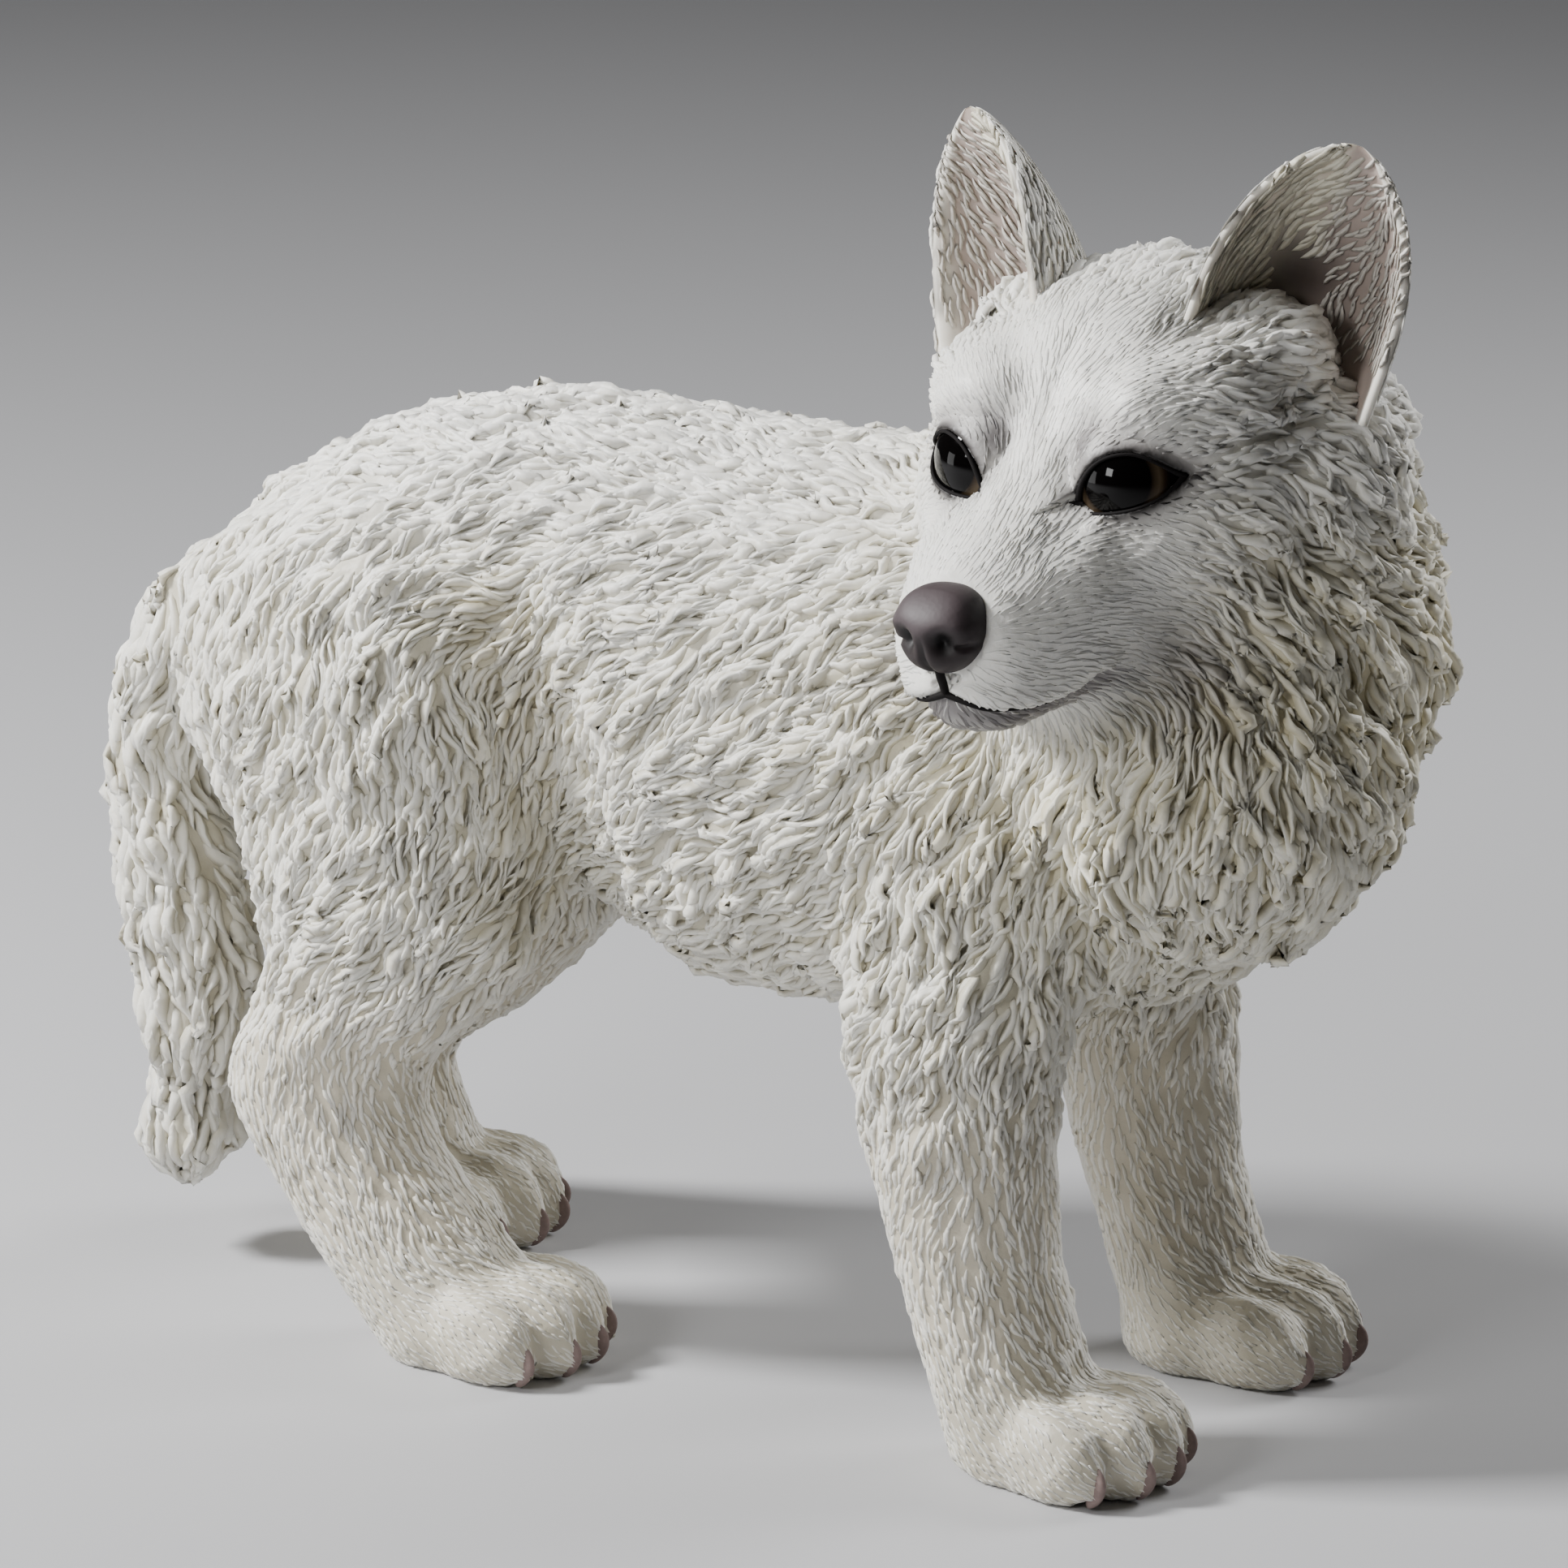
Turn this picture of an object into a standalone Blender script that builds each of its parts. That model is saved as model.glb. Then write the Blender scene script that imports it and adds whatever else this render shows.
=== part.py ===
"""Arctic wolf pup: a hand-painted cast-resin figurine, about 150 mm tall to its ear tips.

The pup walks along +X with its left side towards +Y and its head turned to its own right.
The figure is shaped whole out of rounded masses, which are melted together into one skin, and
is then parted into its body parts with thin cuts. Lengths in the tables are in millimetres.
"""
import math

import bmesh
import bpy
from mathutils import Matrix, Vector

MM = 0.001
GAP = 0.3                 # width of the cut between neighbouring parts
VOXEL = 0.85              # grid on which the masses are melted together
SMOOTHING_PASSES = 6
SKIN_TRIANGLES = 4740     # triangles on the whole skin before it is parted

# Driving sizes of the figure
SHOULDER_HALF_WIDTH = 28.0
HAUNCH_HALF_WIDTH = 27.0
RIGHT_FORE_PAW = (45.5, -21.0)      # middle of each paw on the floor
LEFT_FORE_PAW = (47.0, 21.0)
RIGHT_HIND_PAW = (-28.5, -17.0)
LEFT_HIND_PAW = (-54.5, 19.5)
TAIL_OFFSET = -1.0                  # the tail hangs a little to the right
TUFT_SPACING = 8.0                  # between the main tufts of the carved coat
TUFT_HEIGHT = 1.5                   # from the hollow between two tufts to their crests
FLANK_FOLD = (-16.0, 22.5, 68.0)    # middle of the fold in front of each haunch
FLANK_FOLD_REACH = (5.5, 10.0, 16.0)
FLANK_FOLD_DEPTH = 3.4
PAW_LENGTH = 27.0
PAW_WIDTH = 21.0

# The head is modelled level, facing +X, with its origin midway between the eyes
HEAD_ORIGIN = Vector((43.8, -25.0, 112.4))
HEAD_YAW = math.radians(-98.7)
HEAD_PITCH = math.radians(7.4)      # nose down
HEAD_ROLL = math.radians(2.3)       # left side up
HEAD_PLACE = (
    Matrix.Translation(HEAD_ORIGIN)
    @ Matrix.Rotation(HEAD_YAW, 4, "Z")
    @ Matrix.Rotation(HEAD_PITCH, 4, "Y")
    @ Matrix.Rotation(HEAD_ROLL, 4, "X")
)

EYE_CENTRE = Vector((-4.4, 8.6, -1.1))
EYE_RADIUS = 7.0
EYE_SPLAY = math.radians(30.0)      # how far an eye looks outwards
EYE_SLANT = math.radians(12.0)      # how far its outer corner is lifted
EYE_OPENING = (5.9, 3.4)            # half length and half height between the lids
EYE_OPENING_LIFT = 1.7              # the opening lies this far above the ball's middle
NOSE_CENTRE = Vector((20.2, 0.0, -10.3))
NOSE_RADII = (4.3, 5.0, 5.4)

FACE_MIDDLE = Vector((-4.0, 0.0, -4.0))
FACE_REACH = 30.0                   # the tufts begin this far from the middle of the face
SHIN_HEIGHT = 30.0                  # and above this height on the legs

EAR_BASE = Vector((-18.9, 19.6, 10.8))
EAR_TIP = Vector((-26.6, 24.8, 28.9))
EAR_INNER_CORNER = Vector((-16.0, 11.0, 17.0))
EAR_OUTER_CORNER = Vector((-21.4, 28.3, 4.7))
EAR_WALL = 1.5

IDENTITY = Matrix.Identity(4)


# ---------------------------------------------------------------- shaping tools

def spline(stations, steps):
    """Points along a Catmull-Rom curve through the stations, each a tuple of numbers."""
    rows = [Vector(station) for station in stations]
    padded = [rows[0] * 2 - rows[1]] + rows + [rows[-1] * 2 - rows[-2]]
    points = []
    for index in range(len(rows) - 1):
        before, start, end, after = padded[index:index + 4]
        for step in range(steps):
            t = step / steps
            point = start * 2 + (end - before) * t
            point += (before * 2 - start * 5 + end * 4 - after) * t ** 2
            point += (start * 3 - before - end * 3 + after) * t ** 3
            points.append(point * 0.5)
    points.append(rows[-1])
    return points


def add_ball(clay, centre, radii, place=IDENTITY, turn=0.0, grow=0.0, segments=32, rings=20):
    """Add an ellipsoid to the clay; turn is its heading in degrees about +Z."""
    shape = (
        place
        @ Matrix.Translation(centre)
        @ Matrix.Rotation(math.radians(turn), 4, "Z")
        @ Matrix.Diagonal([radius + grow for radius in radii] + [1.0])
    )
    bmesh.ops.create_uvsphere(clay, u_segments=segments, v_segments=rings, radius=1.0, matrix=shape)


def add_rings(clay, rings):
    """Skin a row of rings, each a list of the same number of points, and close both ends."""
    loops = [[clay.verts.new(point) for point in ring] for ring in rings]
    for loop, following in zip(loops, loops[1:]):
        for index in range(len(loop)):
            beside = (index + 1) % len(loop)
            clay.faces.new((loop[index], loop[beside], following[beside], following[index]))
    clay.faces.new(loops[0][::-1])
    clay.faces.new(loops[-1])


def add_loft(clay, axis, stations, place=IDENTITY, grow=0.0, steps=5, sides=32):
    """Loft ellipses across the X or Z axis.

    A station is its place along the axis, the ellipse's centre on the other two axes and its
    half sizes on them. Across X these two are Y and Z, and across Z they are X and Y.
    """
    rings = []
    for along, first, second, first_half, second_half in spline(stations, steps):
        ring = []
        for side in range(sides):
            angle = 2 * math.pi * side / sides
            one = first + (first_half + grow) * math.cos(angle)
            two = second + (second_half + grow) * math.sin(angle)
            point = Vector((along, one, two)) if axis == "X" else Vector((one, two, along))
            ring.append(place @ point)
        rings.append(ring)
    add_rings(clay, rings)


def make_object(name, clay, collection, material=None):
    """Turn a bmesh in millimetres into an object in metres with its faces pointing out."""
    bmesh.ops.recalc_face_normals(clay, faces=clay.faces)
    bmesh.ops.scale(clay, vec=(MM, MM, MM), verts=clay.verts)
    mesh = bpy.data.meshes.new(name)
    clay.to_mesh(mesh)
    clay.free()
    thing = bpy.data.objects.new(name, mesh)
    if material:
        mesh.materials.append(material)
    collection.objects.link(thing)
    return thing


def make_cutter(name, clay, cutters):
    """An object that only cuts others and isn't part of the figure."""
    cutter = make_object(name, clay, cutters)
    cutter.hide_render = True
    cutter.display_type = "WIRE"
    return cutter


def settle_modifiers(thing):
    """Replace an object's mesh by the one that its modifiers make."""
    graph = bpy.context.evaluated_depsgraph_get()
    mesh = bpy.data.meshes.new_from_object(thing.evaluated_get(graph))
    thing.modifiers.clear()
    old = thing.data
    thing.data = mesh
    bpy.data.meshes.remove(old)


def combine(thing, cutter, operation):
    """Cut the object with the cutter, or keep what is inside it."""
    boolean = thing.modifiers.new("cut", "BOOLEAN")
    boolean.operation = operation
    boolean.solver = "EXACT"
    boolean.object = cutter
    settle_modifiers(thing)


def copy_object(thing, name, collection):
    copy = bpy.data.objects.new(name, thing.data.copy())
    collection.objects.link(copy)
    return copy


# ---------------------------------------------------------------- masses of the body

def shape_trunk(clay):
    """Rump, loin, ribs and chest, with the shoulders and haunches standing out of them."""
    trunk = [
        # x, y, middle height, half width, half height
        (-75.0, 0, 76.0, 6.0, 6.0),
        (-70.0, 0, 73.5, 13.0, 14.5),
        (-62.0, 0, 72.5, 19.0, 22.5),
        (-50.0, 0, 74.5, 23.0, 28.0),
        (-36.0, 0, 79.5, 23.5, 27.6),
        (-22.0, 0, 79.5, 23.0, 28.8),
        (-6.0, 0, 76.0, 24.5, 31.8),
        (12.0, 0, 75.5, 26.5, 32.0),
        (30.0, 0, 77.0, 26.5, 32.0),
        (48.0, 0, 78.5, 25.5, 29.5),
        (62.0, 0, 79.0, 20.0, 22.0),
        (72.0, 0, 80.0, 9.0, 11.0),
    ]
    add_loft(clay, "X", trunk)
    for side in (-1, 1):
        shoulder_y = side * (SHOULDER_HALF_WIDTH - 13.0)
        haunch_y = side * (HAUNCH_HALF_WIDTH - 14.0)
        add_ball(clay, (32.0, shoulder_y, 68.0), (17.0, 13.0, 25.0))
        add_ball(clay, (-42.0, haunch_y, 72.0), (22.5, 14.0, 27.0))


def shape_neck(clay):
    """The nape, and the ruff that wraps the neck and hangs over the chest."""
    add_ball(clay, (48.5, 1.0, 91.0), (28.0, 29.0, 29.0))
    add_ball(clay, (50.0, 3.0, 108.0), (23.0, 20.0, 20.0))
    add_ball(clay, (55.0, -7.0, 78.0), (22.0, 22.0, 22.0), turn=-30.0)
    add_ball(clay, (24.0, 0.0, 97.0), (20.0, 17.0, 11.5))


def shape_head(clay):
    """Skull and muzzle as one tapering form, with the cheeks and ear roots on it."""
    place = HEAD_PLACE
    skull = [
        # forward, left, up, half width, half height
        (-40.0, 0, -4.0, 8.0, 8.0),
        (-35.0, 0, -3.0, 16.5, 15.5),
        (-26.0, 0, -2.5, 21.5, 19.5),
        (-17.0, 0, -3.5, 22.0, 20.0),
        (-9.5, 0, -5.5, 20.0, 19.0),
        (-4.0, 0, -8.3, 17.6, 17.0),
        (0.0, 0, -10.5, 15.2, 14.0),
        (6.0, 0, -12.4, 12.4, 11.6),
        (14.0, 0, -14.2, 9.6, 9.9),
        (19.0, 0, -14.6, 7.6, 7.8),
        (21.2, 0, -14.2, 4.4, 4.8),
    ]
    add_loft(clay, "X", skull, place)
    for side in (-1, 1):
        add_ball(clay, (-12.0, side * 12.0, -7.0), (13.0, 11.0, 13.5), place)
        add_ball(clay, (-7.4, side * 9.8, 3.6), (7.6, 8.0, 7.6), place)
        add_ball(clay, (-5.5, side * 10.8, -7.5), (8.5, 8.0, 7.0), place)
        add_ball(clay, (-23.0, side * 14.5, -8.0), (12.5, 13.5, 15.5), place)
        add_ball(clay, (-21.0, side * 15.5, 8.5), (7.5, 7.0, 5.5), place)
        add_ball(clay, (-13.0, side * 13.5, 4.0), (9.5, 8.0, 8.0), place)


def shape_tail(clay):
    """A thick hanging tail with a knob of hair at its end."""
    y = TAIL_OFFSET
    tail = [
        # z, x, y, half length, half width
        (90.0, -62.0, 0.0, 6.0, 9.0),
        (82.0, -71.0, 0.0, 7.5, 9.0),
        (73.0, -76.8, y, 6.8, 7.6),
        (62.0, -79.6, y, 6.4, 7.2),
        (50.0, -78.8, y, 7.4, 7.4),
        (40.0, -76.8, y, 7.8, 7.6),
        (30.0, -75.8, y, 7.2, 7.0),
        (21.0, -76.6, y, 5.0, 5.8),
        (13.0, -77.6, y, 5.8, 6.4),
        (9.0, -77.6, y, 2.6, 3.0),
    ]
    add_loft(clay, "Z", tail)


def shape_paw(clay, centre, heading):
    """A broad paw: a pad of instep, four toes fanned around its front and their claws."""
    place = Matrix.Translation((centre[0], centre[1], 0)) @ Matrix.Rotation(math.radians(heading), 4, "Z")
    half_width = PAW_WIDTH / 2
    front = PAW_LENGTH / 2
    add_ball(clay, (-4.0, 0, 4.2), (9.8, half_width - 0.4, 8.2), place)
    for toe, offset in enumerate((-1.5, -0.5, 0.5, 1.5)):
        middle = abs(offset) < 1
        reach = front - 7.6 if middle else front - 10.2
        spread = offset * 5.1
        turn = offset * 7.0
        add_ball(clay, (reach, spread, 4.6), (7.9, 3.6, 6.6 if middle else 5.8), place, turn)
        claw_reach = reach + 7.3
        add_ball(clay, (claw_reach, spread * 1.09, 2.6), (1.4, 1.0, 2.2), place, turn)


def shape_forelegs(clay):
    for side, paw, heading, advance in ((-1, RIGHT_FORE_PAW, -10.0, 0.0), (1, LEFT_FORE_PAW, 6.0, 2.0)):
        y = paw[1]
        leg = [
            # z, x, y, half length, half width
            (70.0, 31.0, side * 15.0, 14.0, 9.0),
            (54.0, 31.0, side * 18.5, 13.6, 10.4),
            (43.0, 31.6 + advance, side * 20.0, 12.0, 10.2),
            (34.0, 33.0 + advance, y, 10.8, 9.6),
            (24.0, 34.6 + advance, y, 9.6, 9.2),
            (15.0, 37.4 + advance, y, 9.2, 9.3),
            (7.0, 40.0 + advance, y, 9.0, 9.6),
            (-1.0, 43.0 + advance, y, 8.0, 8.6),
        ]
        add_loft(clay, "Z", leg)
        shape_paw(clay, paw, heading)


def shape_hindlegs(clay):
    """The right hind leg stands under the haunch and the left one trails behind it."""
    right_leg = [
        # z, x, y, half length, half width
        (72.0, -41.0, -13.0, 20.0, 12.0),
        (60.0, -40.0, -15.5, 20.0, 11.8),
        (50.0, -39.5, -16.5, 18.0, 11.0),
        (42.0, -41.5, -17.0, 14.6, 10.2),
        (34.0, -47.6, -17.0, 12.6, 9.4),
        (28.0, -49.2, -17.0, 12.2, 9.0),
        (21.0, -45.6, -17.0, 12.0, 8.8),
        (14.0, -40.0, -17.0, 12.6, 9.0),
        (7.0, -35.0, -17.0, 11.8, 9.4),
        (-1.0, -31.0, -17.0, 8.5, 8.5),
    ]
    left_leg = [
        (72.0, -42.0, 13.0, 20.0, 12.0),
        (60.0, -42.0, 15.5, 19.5, 11.8),
        (50.0, -42.5, 17.0, 17.5, 11.0),
        (42.0, -45.5, 18.0, 14.8, 10.0),
        (35.0, -50.5, 19.0, 13.4, 9.2),
        (28.0, -58.5, 19.5, 13.0, 8.9),
        (22.0, -66.0, 19.5, 11.8, 8.7),
        (15.0, -65.0, 19.5, 12.2, 9.0),
        (7.0, -61.0, 19.5, 11.6, 9.4),
        (-1.0, -57.0, 19.5, 8.5, 8.5),
    ]
    add_loft(clay, "Z", right_leg)
    add_loft(clay, "Z", left_leg)
    shape_paw(clay, RIGHT_HIND_PAW, -4.0)
    shape_paw(clay, LEFT_HIND_PAW, 4.0)


def melt_together(collection):
    """Join the masses into one smooth skin and cut it flat where it stands."""
    clay = bmesh.new()
    for shape in (shape_trunk, shape_neck, shape_head, shape_tail, shape_forelegs, shape_hindlegs):
        shape(clay)
    body = make_object("whole", clay, collection)
    remesh = body.modifiers.new("melt", "REMESH")
    remesh.mode = "VOXEL"
    remesh.voxel_size = VOXEL * MM
    smooth = body.modifiers.new("smooth", "SMOOTH")
    smooth.factor = 0.5
    smooth.iterations = SMOOTHING_PASSES
    settle_modifiers(body)
    carve_coat(body)
    open_lids(body)
    triangles = 2 * len(body.data.polygons)
    decimate = body.modifiers.new("facet", "DECIMATE")
    decimate.ratio = SKIN_TRIANGLES / triangles
    settle_modifiers(body)
    stand_on_floor(body)
    return body


def tuft_relief(point):
    """From -0.5 in the hollows to 0.5 on the crests of tufts that run back, down and outwards."""
    turn = 2 * math.pi / TUFT_SPACING
    across = 0.65 * point.x - 0.75 * point.z + 0.9 * abs(point.y)
    along = 0.75 * point.x + 0.65 * point.z
    bend = 1.2 * math.sin(0.35 * turn * along)
    return 0.5 * math.sin(turn * across + bend) * math.cos(0.3 * turn * along + 0.25 * turn * across)


def carve_coat(body):
    """Raise the main tufts on trunk, neck and thighs, and press in the folds of the flanks."""
    to_head = HEAD_PLACE.inverted()
    normals = [vert.normal.copy() for vert in body.data.vertices]
    for vert, normal in zip(body.data.vertices, normals):
        point = vert.co / MM
        off_face = (to_head @ point - FACE_MIDDLE).length
        off_face = min(max((off_face - FACE_REACH) / TUFT_SPACING, 0.0), 1.0)
        off_shins = min(max((point.z - SHIN_HEIGHT) / TUFT_SPACING, 0.0), 1.0)
        push = off_face * off_shins * TUFT_HEIGHT * tuft_relief(point)
        fold = [
            (place - middle) / reach
            for place, middle, reach in zip((point.x, abs(point.y), point.z), FLANK_FOLD, FLANK_FOLD_REACH)
        ]
        push -= FLANK_FOLD_DEPTH * math.exp(-sum(gap * gap for gap in fold))
        vert.co += normal * push * MM


def open_lids(body):
    """Press the skin in between the lids, so that each eye shows through an almond opening."""
    to_head = HEAD_PLACE.inverted()
    half_length, half_height = EYE_OPENING
    for vert in body.data.vertices:
        point = to_head @ (vert.co / MM)
        side = -1 if point.y < 0 else 1
        centre = Vector((EYE_CENTRE.x, side * EYE_CENTRE.y, EYE_CENTRE.z))
        outward = Vector((math.cos(EYE_SPLAY), side * math.sin(EYE_SPLAY), 0.0))
        level = Vector((-math.sin(EYE_SPLAY), side * math.cos(EYE_SPLAY), 0.0))
        along = level * math.cos(EYE_SLANT) + Vector((0.0, 0.0, math.sin(EYE_SLANT)))
        upward = Vector((0.0, 0.0, math.cos(EYE_SLANT))) - level * math.sin(EYE_SLANT)
        offset = point - centre
        depth = offset.dot(outward)
        if depth < 0 or offset.length > 2 * EYE_RADIUS:
            continue
        height = offset.dot(upward) - EYE_OPENING_LIFT
        across = (offset.dot(along) / half_length) ** 2 + (height / half_height) ** 2
        if across < 1.0 and offset.length > EYE_RADIUS - 1.0:
            sunk = centre + offset.normalized() * (EYE_RADIUS - 1.0)
            vert.co = HEAD_PLACE @ sunk * MM


def stand_on_floor(body):
    """Slice off what is below the floor, which leaves one flat under each paw."""
    skin = bmesh.new()
    skin.from_mesh(body.data)
    everything = skin.verts[:] + skin.edges[:] + skin.faces[:]
    bmesh.ops.bisect_plane(skin, geom=everything, plane_co=(0, 0, 0), plane_no=(0, 0, 1), clear_inner=True)
    rims = [edge for edge in skin.edges if edge.is_boundary]
    bmesh.ops.edgeloop_fill(skin, edges=rims)
    bmesh.ops.triangulate(skin, faces=skin.faces)
    bmesh.ops.recalc_face_normals(skin, faces=skin.faces)
    skin.to_mesh(body.data)
    skin.free()


# ---------------------------------------------------------------- zones of the body parts

def slab_zone(clay, corner, far_corner, place=IDENTITY, grow=0.0):
    """A box between two corners."""
    low = Vector(corner) - Vector((grow, grow, grow))
    high = Vector(far_corner) + Vector((grow, grow, grow))
    middle = (low + high) / 2
    size = high - low
    shape = place @ Matrix.Translation(middle) @ Matrix.Diagonal((size.x, size.y, size.z, 1.0))
    bmesh.ops.create_cube(clay, size=1.0, matrix=shape)


def head_zone(clay, grow):
    """A cone that opens backwards around the face, cut off on a slant behind the ears and jaw."""
    rings = []
    sides = 36
    for radius, forward_at_axis, slant in ((21.0, 40.0, 0.0), (24.5, 10.0, 0.0), (31.0, -19.0, -0.62)):
        ring = []
        for side in range(sides):
            angle = 2 * math.pi * side / sides
            across = (radius + grow) * math.cos(angle)
            up = (radius + grow) * math.sin(angle)
            back_growth = 1.2 * grow if slant else 0.0
            forward = forward_at_axis + slant * up - back_growth
            ring.append(HEAD_PLACE @ Vector((forward, across, up - 2.0)))
        rings.append(ring)
    add_rings(clay, rings)


def neck_zone(clay, grow):
    """All in front of a plane that slants from the withers down to the breast."""
    place = Matrix.Translation((24.0, 0, 108.0)) @ Matrix.Rotation(math.radians(47.0), 4, "Y")
    slab_zone(clay, (-30.0, -60.0, 0.0), (95.0, 60.0, 90.0), place, grow)


def tail_zone(clay, grow):
    """The tail hangs behind the thighs, and is cut off under the rump."""
    slab_zone(clay, (-110.0, -18.0, -4.0), (-66.5, 8.4, 79.0), IDENTITY, grow)


def foreleg_zone(side):
    def zone(clay, grow):
        stations = [
            (-4.0, 41.0, side * 21.5, 27.0, 17.0),
            (22.0, 37.0, side * 21.5, 22.0, 16.5),
            (40.0, 31.5, side * 21.0, 18.5, 14.5),
            (52.0, 31.0, side * 22.5, 15.5, 12.5),
            (60.0, 31.0, side * 25.0, 11.0, 9.0),
            (65.0 + grow, 31.0, side * 28.0, 3.5, 3.0),
        ]
        add_loft(clay, "Z", stations, grow=grow, steps=1, sides=14)
    return zone


def hindleg_zone(side):
    reach = 0.0 if side < 0 else -22.0

    def zone(clay, grow):
        stations = [
            (-4.0, -38.0 + reach, side * 19.0, 33.0, 15.5),
            (24.0, -42.0 + reach, side * 19.0, 31.0, 15.5),
            (42.0, -42.0 + reach * 0.3, side * 18.5, 24.5, 15.5),
            (58.0, -41.0, side * 19.5, 24.0, 16.0),
            (72.0, -41.5, side * 22.5, 21.0, 12.5),
            (82.0, -43.0, side * 25.5, 14.0, 8.0),
            (88.0 + grow, -44.0, side * 28.0, 4.0, 3.0),
        ]
        add_loft(clay, "Z", stations, grow=grow, steps=1, sides=14)
    return zone


def paw_zone(centre, height, slope):
    """All under a plane above the toes, which slopes down towards the heel."""
    def zone(clay, grow):
        tilt = Matrix.Rotation(math.radians(slope), 4, "Y")
        place = Matrix.Translation((centre[0], centre[1], height)) @ tilt
        slab_zone(clay, (-32.0, -18.5, -40.0), (32.0, 18.5, 0.0), place, grow)
    return zone


def take_part(name, zone, rest, parts, cutters, material):
    """Split off the part inside the zone, leaving a thin gap around it."""
    part = copy_object(rest, name, parts)
    for thing, grow, operation in ((part, 0.0, "INTERSECT"), (rest, GAP, "DIFFERENCE")):
        clay = bmesh.new()
        zone(clay, grow)
        cutter = make_cutter("zone_" + name, clay, cutters)
        combine(thing, cutter, operation)
    part.data.materials.clear()
    part.data.materials.append(material)
    return part


# ---------------------------------------------------------------- ears, eyes and nose

def ear_rings(side):
    """Crescent-shaped rings from the ear's root to its tip, open forwards and outwards."""
    axis = EAR_TIP - EAR_BASE
    height = axis.length
    axis.normalize()
    across = EAR_OUTER_CORNER - EAR_INNER_CORNER
    across -= axis * across.dot(axis)
    across.normalize()
    opening = across.cross(axis)
    profile = [
        # share of the height, half width, depth behind the rim
        (-0.30, 10.2, 12.0),
        (0.0, 11.0, 12.0),
        (0.25, 10.6, 10.2),
        (0.5, 9.3, 8.0),
        (0.75, 6.9, 5.4),
        (0.9, 4.3, 3.6),
        (1.0, 2.0, 2.1),
    ]
    arc_steps = 7
    rings = []
    for share, half_width, depth in profile:
        middle = EAR_BASE + axis * (share * height)
        outer = []
        inner = []
        for step in range(arc_steps + 1):
            angle = math.pi * step / arc_steps
            sideways = across * math.cos(angle)
            back = opening * math.sin(angle)
            outer.append(middle + sideways * half_width - back * depth)
            inner.append(middle + sideways * (half_width - EAR_WALL) - back * (depth - EAR_WALL))
        ring = outer + inner[::-1]
        rings.append([HEAD_PLACE @ Vector((p.x, side * p.y, p.z)) for p in ring])
    return rings


def swell_copy(body, cutters):
    """The whole body swollen by the gap, for cutting what stands on it."""
    swollen = copy_object(body, "body_under_ears", cutters)
    swollen.hide_render = True
    swollen.display_type = "WIRE"
    clearance = swollen.modifiers.new("clearance", "DISPLACE")
    clearance.strength = GAP * MM
    clearance.mid_level = 0.0
    settle_modifiers(swollen)
    return swollen


def make_ear(name, side, swollen_body, parts, material):
    """An ear stands on the skull, cut to the skull's shape a hair's breadth off it."""
    clay = bmesh.new()
    add_rings(clay, ear_rings(side))
    ear = make_object(name, clay, parts, material)
    combine(ear, swollen_body, "DIFFERENCE")


def make_ball_part(name, centre, radii, head, parts, cutters, material):
    """A ball set in a socket of the head with a thin gap around it."""
    clay = bmesh.new()
    add_ball(clay, centre, radii, HEAD_PLACE, segments=14, rings=8)
    part = make_object(name, clay, parts, material)
    socket_clay = bmesh.new()
    add_ball(socket_clay, centre, radii, HEAD_PLACE, grow=GAP, segments=14, rings=8)
    socket = make_cutter("socket_" + name, socket_clay, cutters)
    combine(head, socket, "DIFFERENCE")


# ---------------------------------------------------------------- materials and assembly

def coat_paint(name):
    """Ivory resin, dry-brushed white."""
    return make_material(name + "_resin", (0.86, 0.85, 0.80), 0.55)


def make_material(name, colour, roughness):
    material = bpy.data.materials.new(name)
    material.use_nodes = True
    shader = material.node_tree.nodes["Principled BSDF"]
    shader.inputs["Base Color"].default_value = colour + (1.0,)
    shader.inputs["Roughness"].default_value = roughness
    shader.inputs["Metallic"].default_value = 0.0
    return material


def keep_biggest_piece(thing):
    """Drop crumbs that a cut leaves beside the part itself."""
    skin = bmesh.new()
    skin.from_mesh(thing.data)
    unseen = set(skin.verts)
    pieces = []
    while unseen:
        front = [unseen.pop()]
        piece = set(front)
        while front:
            vert = front.pop()
            for edge in vert.link_edges:
                other = edge.other_vert(vert)
                if other in unseen:
                    unseen.discard(other)
                    piece.add(other)
                    front.append(other)
        pieces.append(piece)
    biggest = max(pieces, key=len)
    crumbs = [vert for vert in skin.verts if vert not in biggest]
    bmesh.ops.delete(skin, geom=crumbs, context="VERTS")
    skin.to_mesh(thing.data)
    skin.free()


def centre_on_origin(parts):
    """Move the figure so that the middle of its bounding box's bottom is the origin."""
    corners = [thing.matrix_world @ vert.co for thing in parts.objects for vert in thing.data.vertices]
    shift = Vector((0.0, 0.0, 0.0))
    for axis in (0, 1):
        values = [corner[axis] for corner in corners]
        shift[axis] = -(min(values) + max(values)) / 2
    for thing in parts.objects:
        thing.data.transform(Matrix.Translation(shift))


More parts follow.
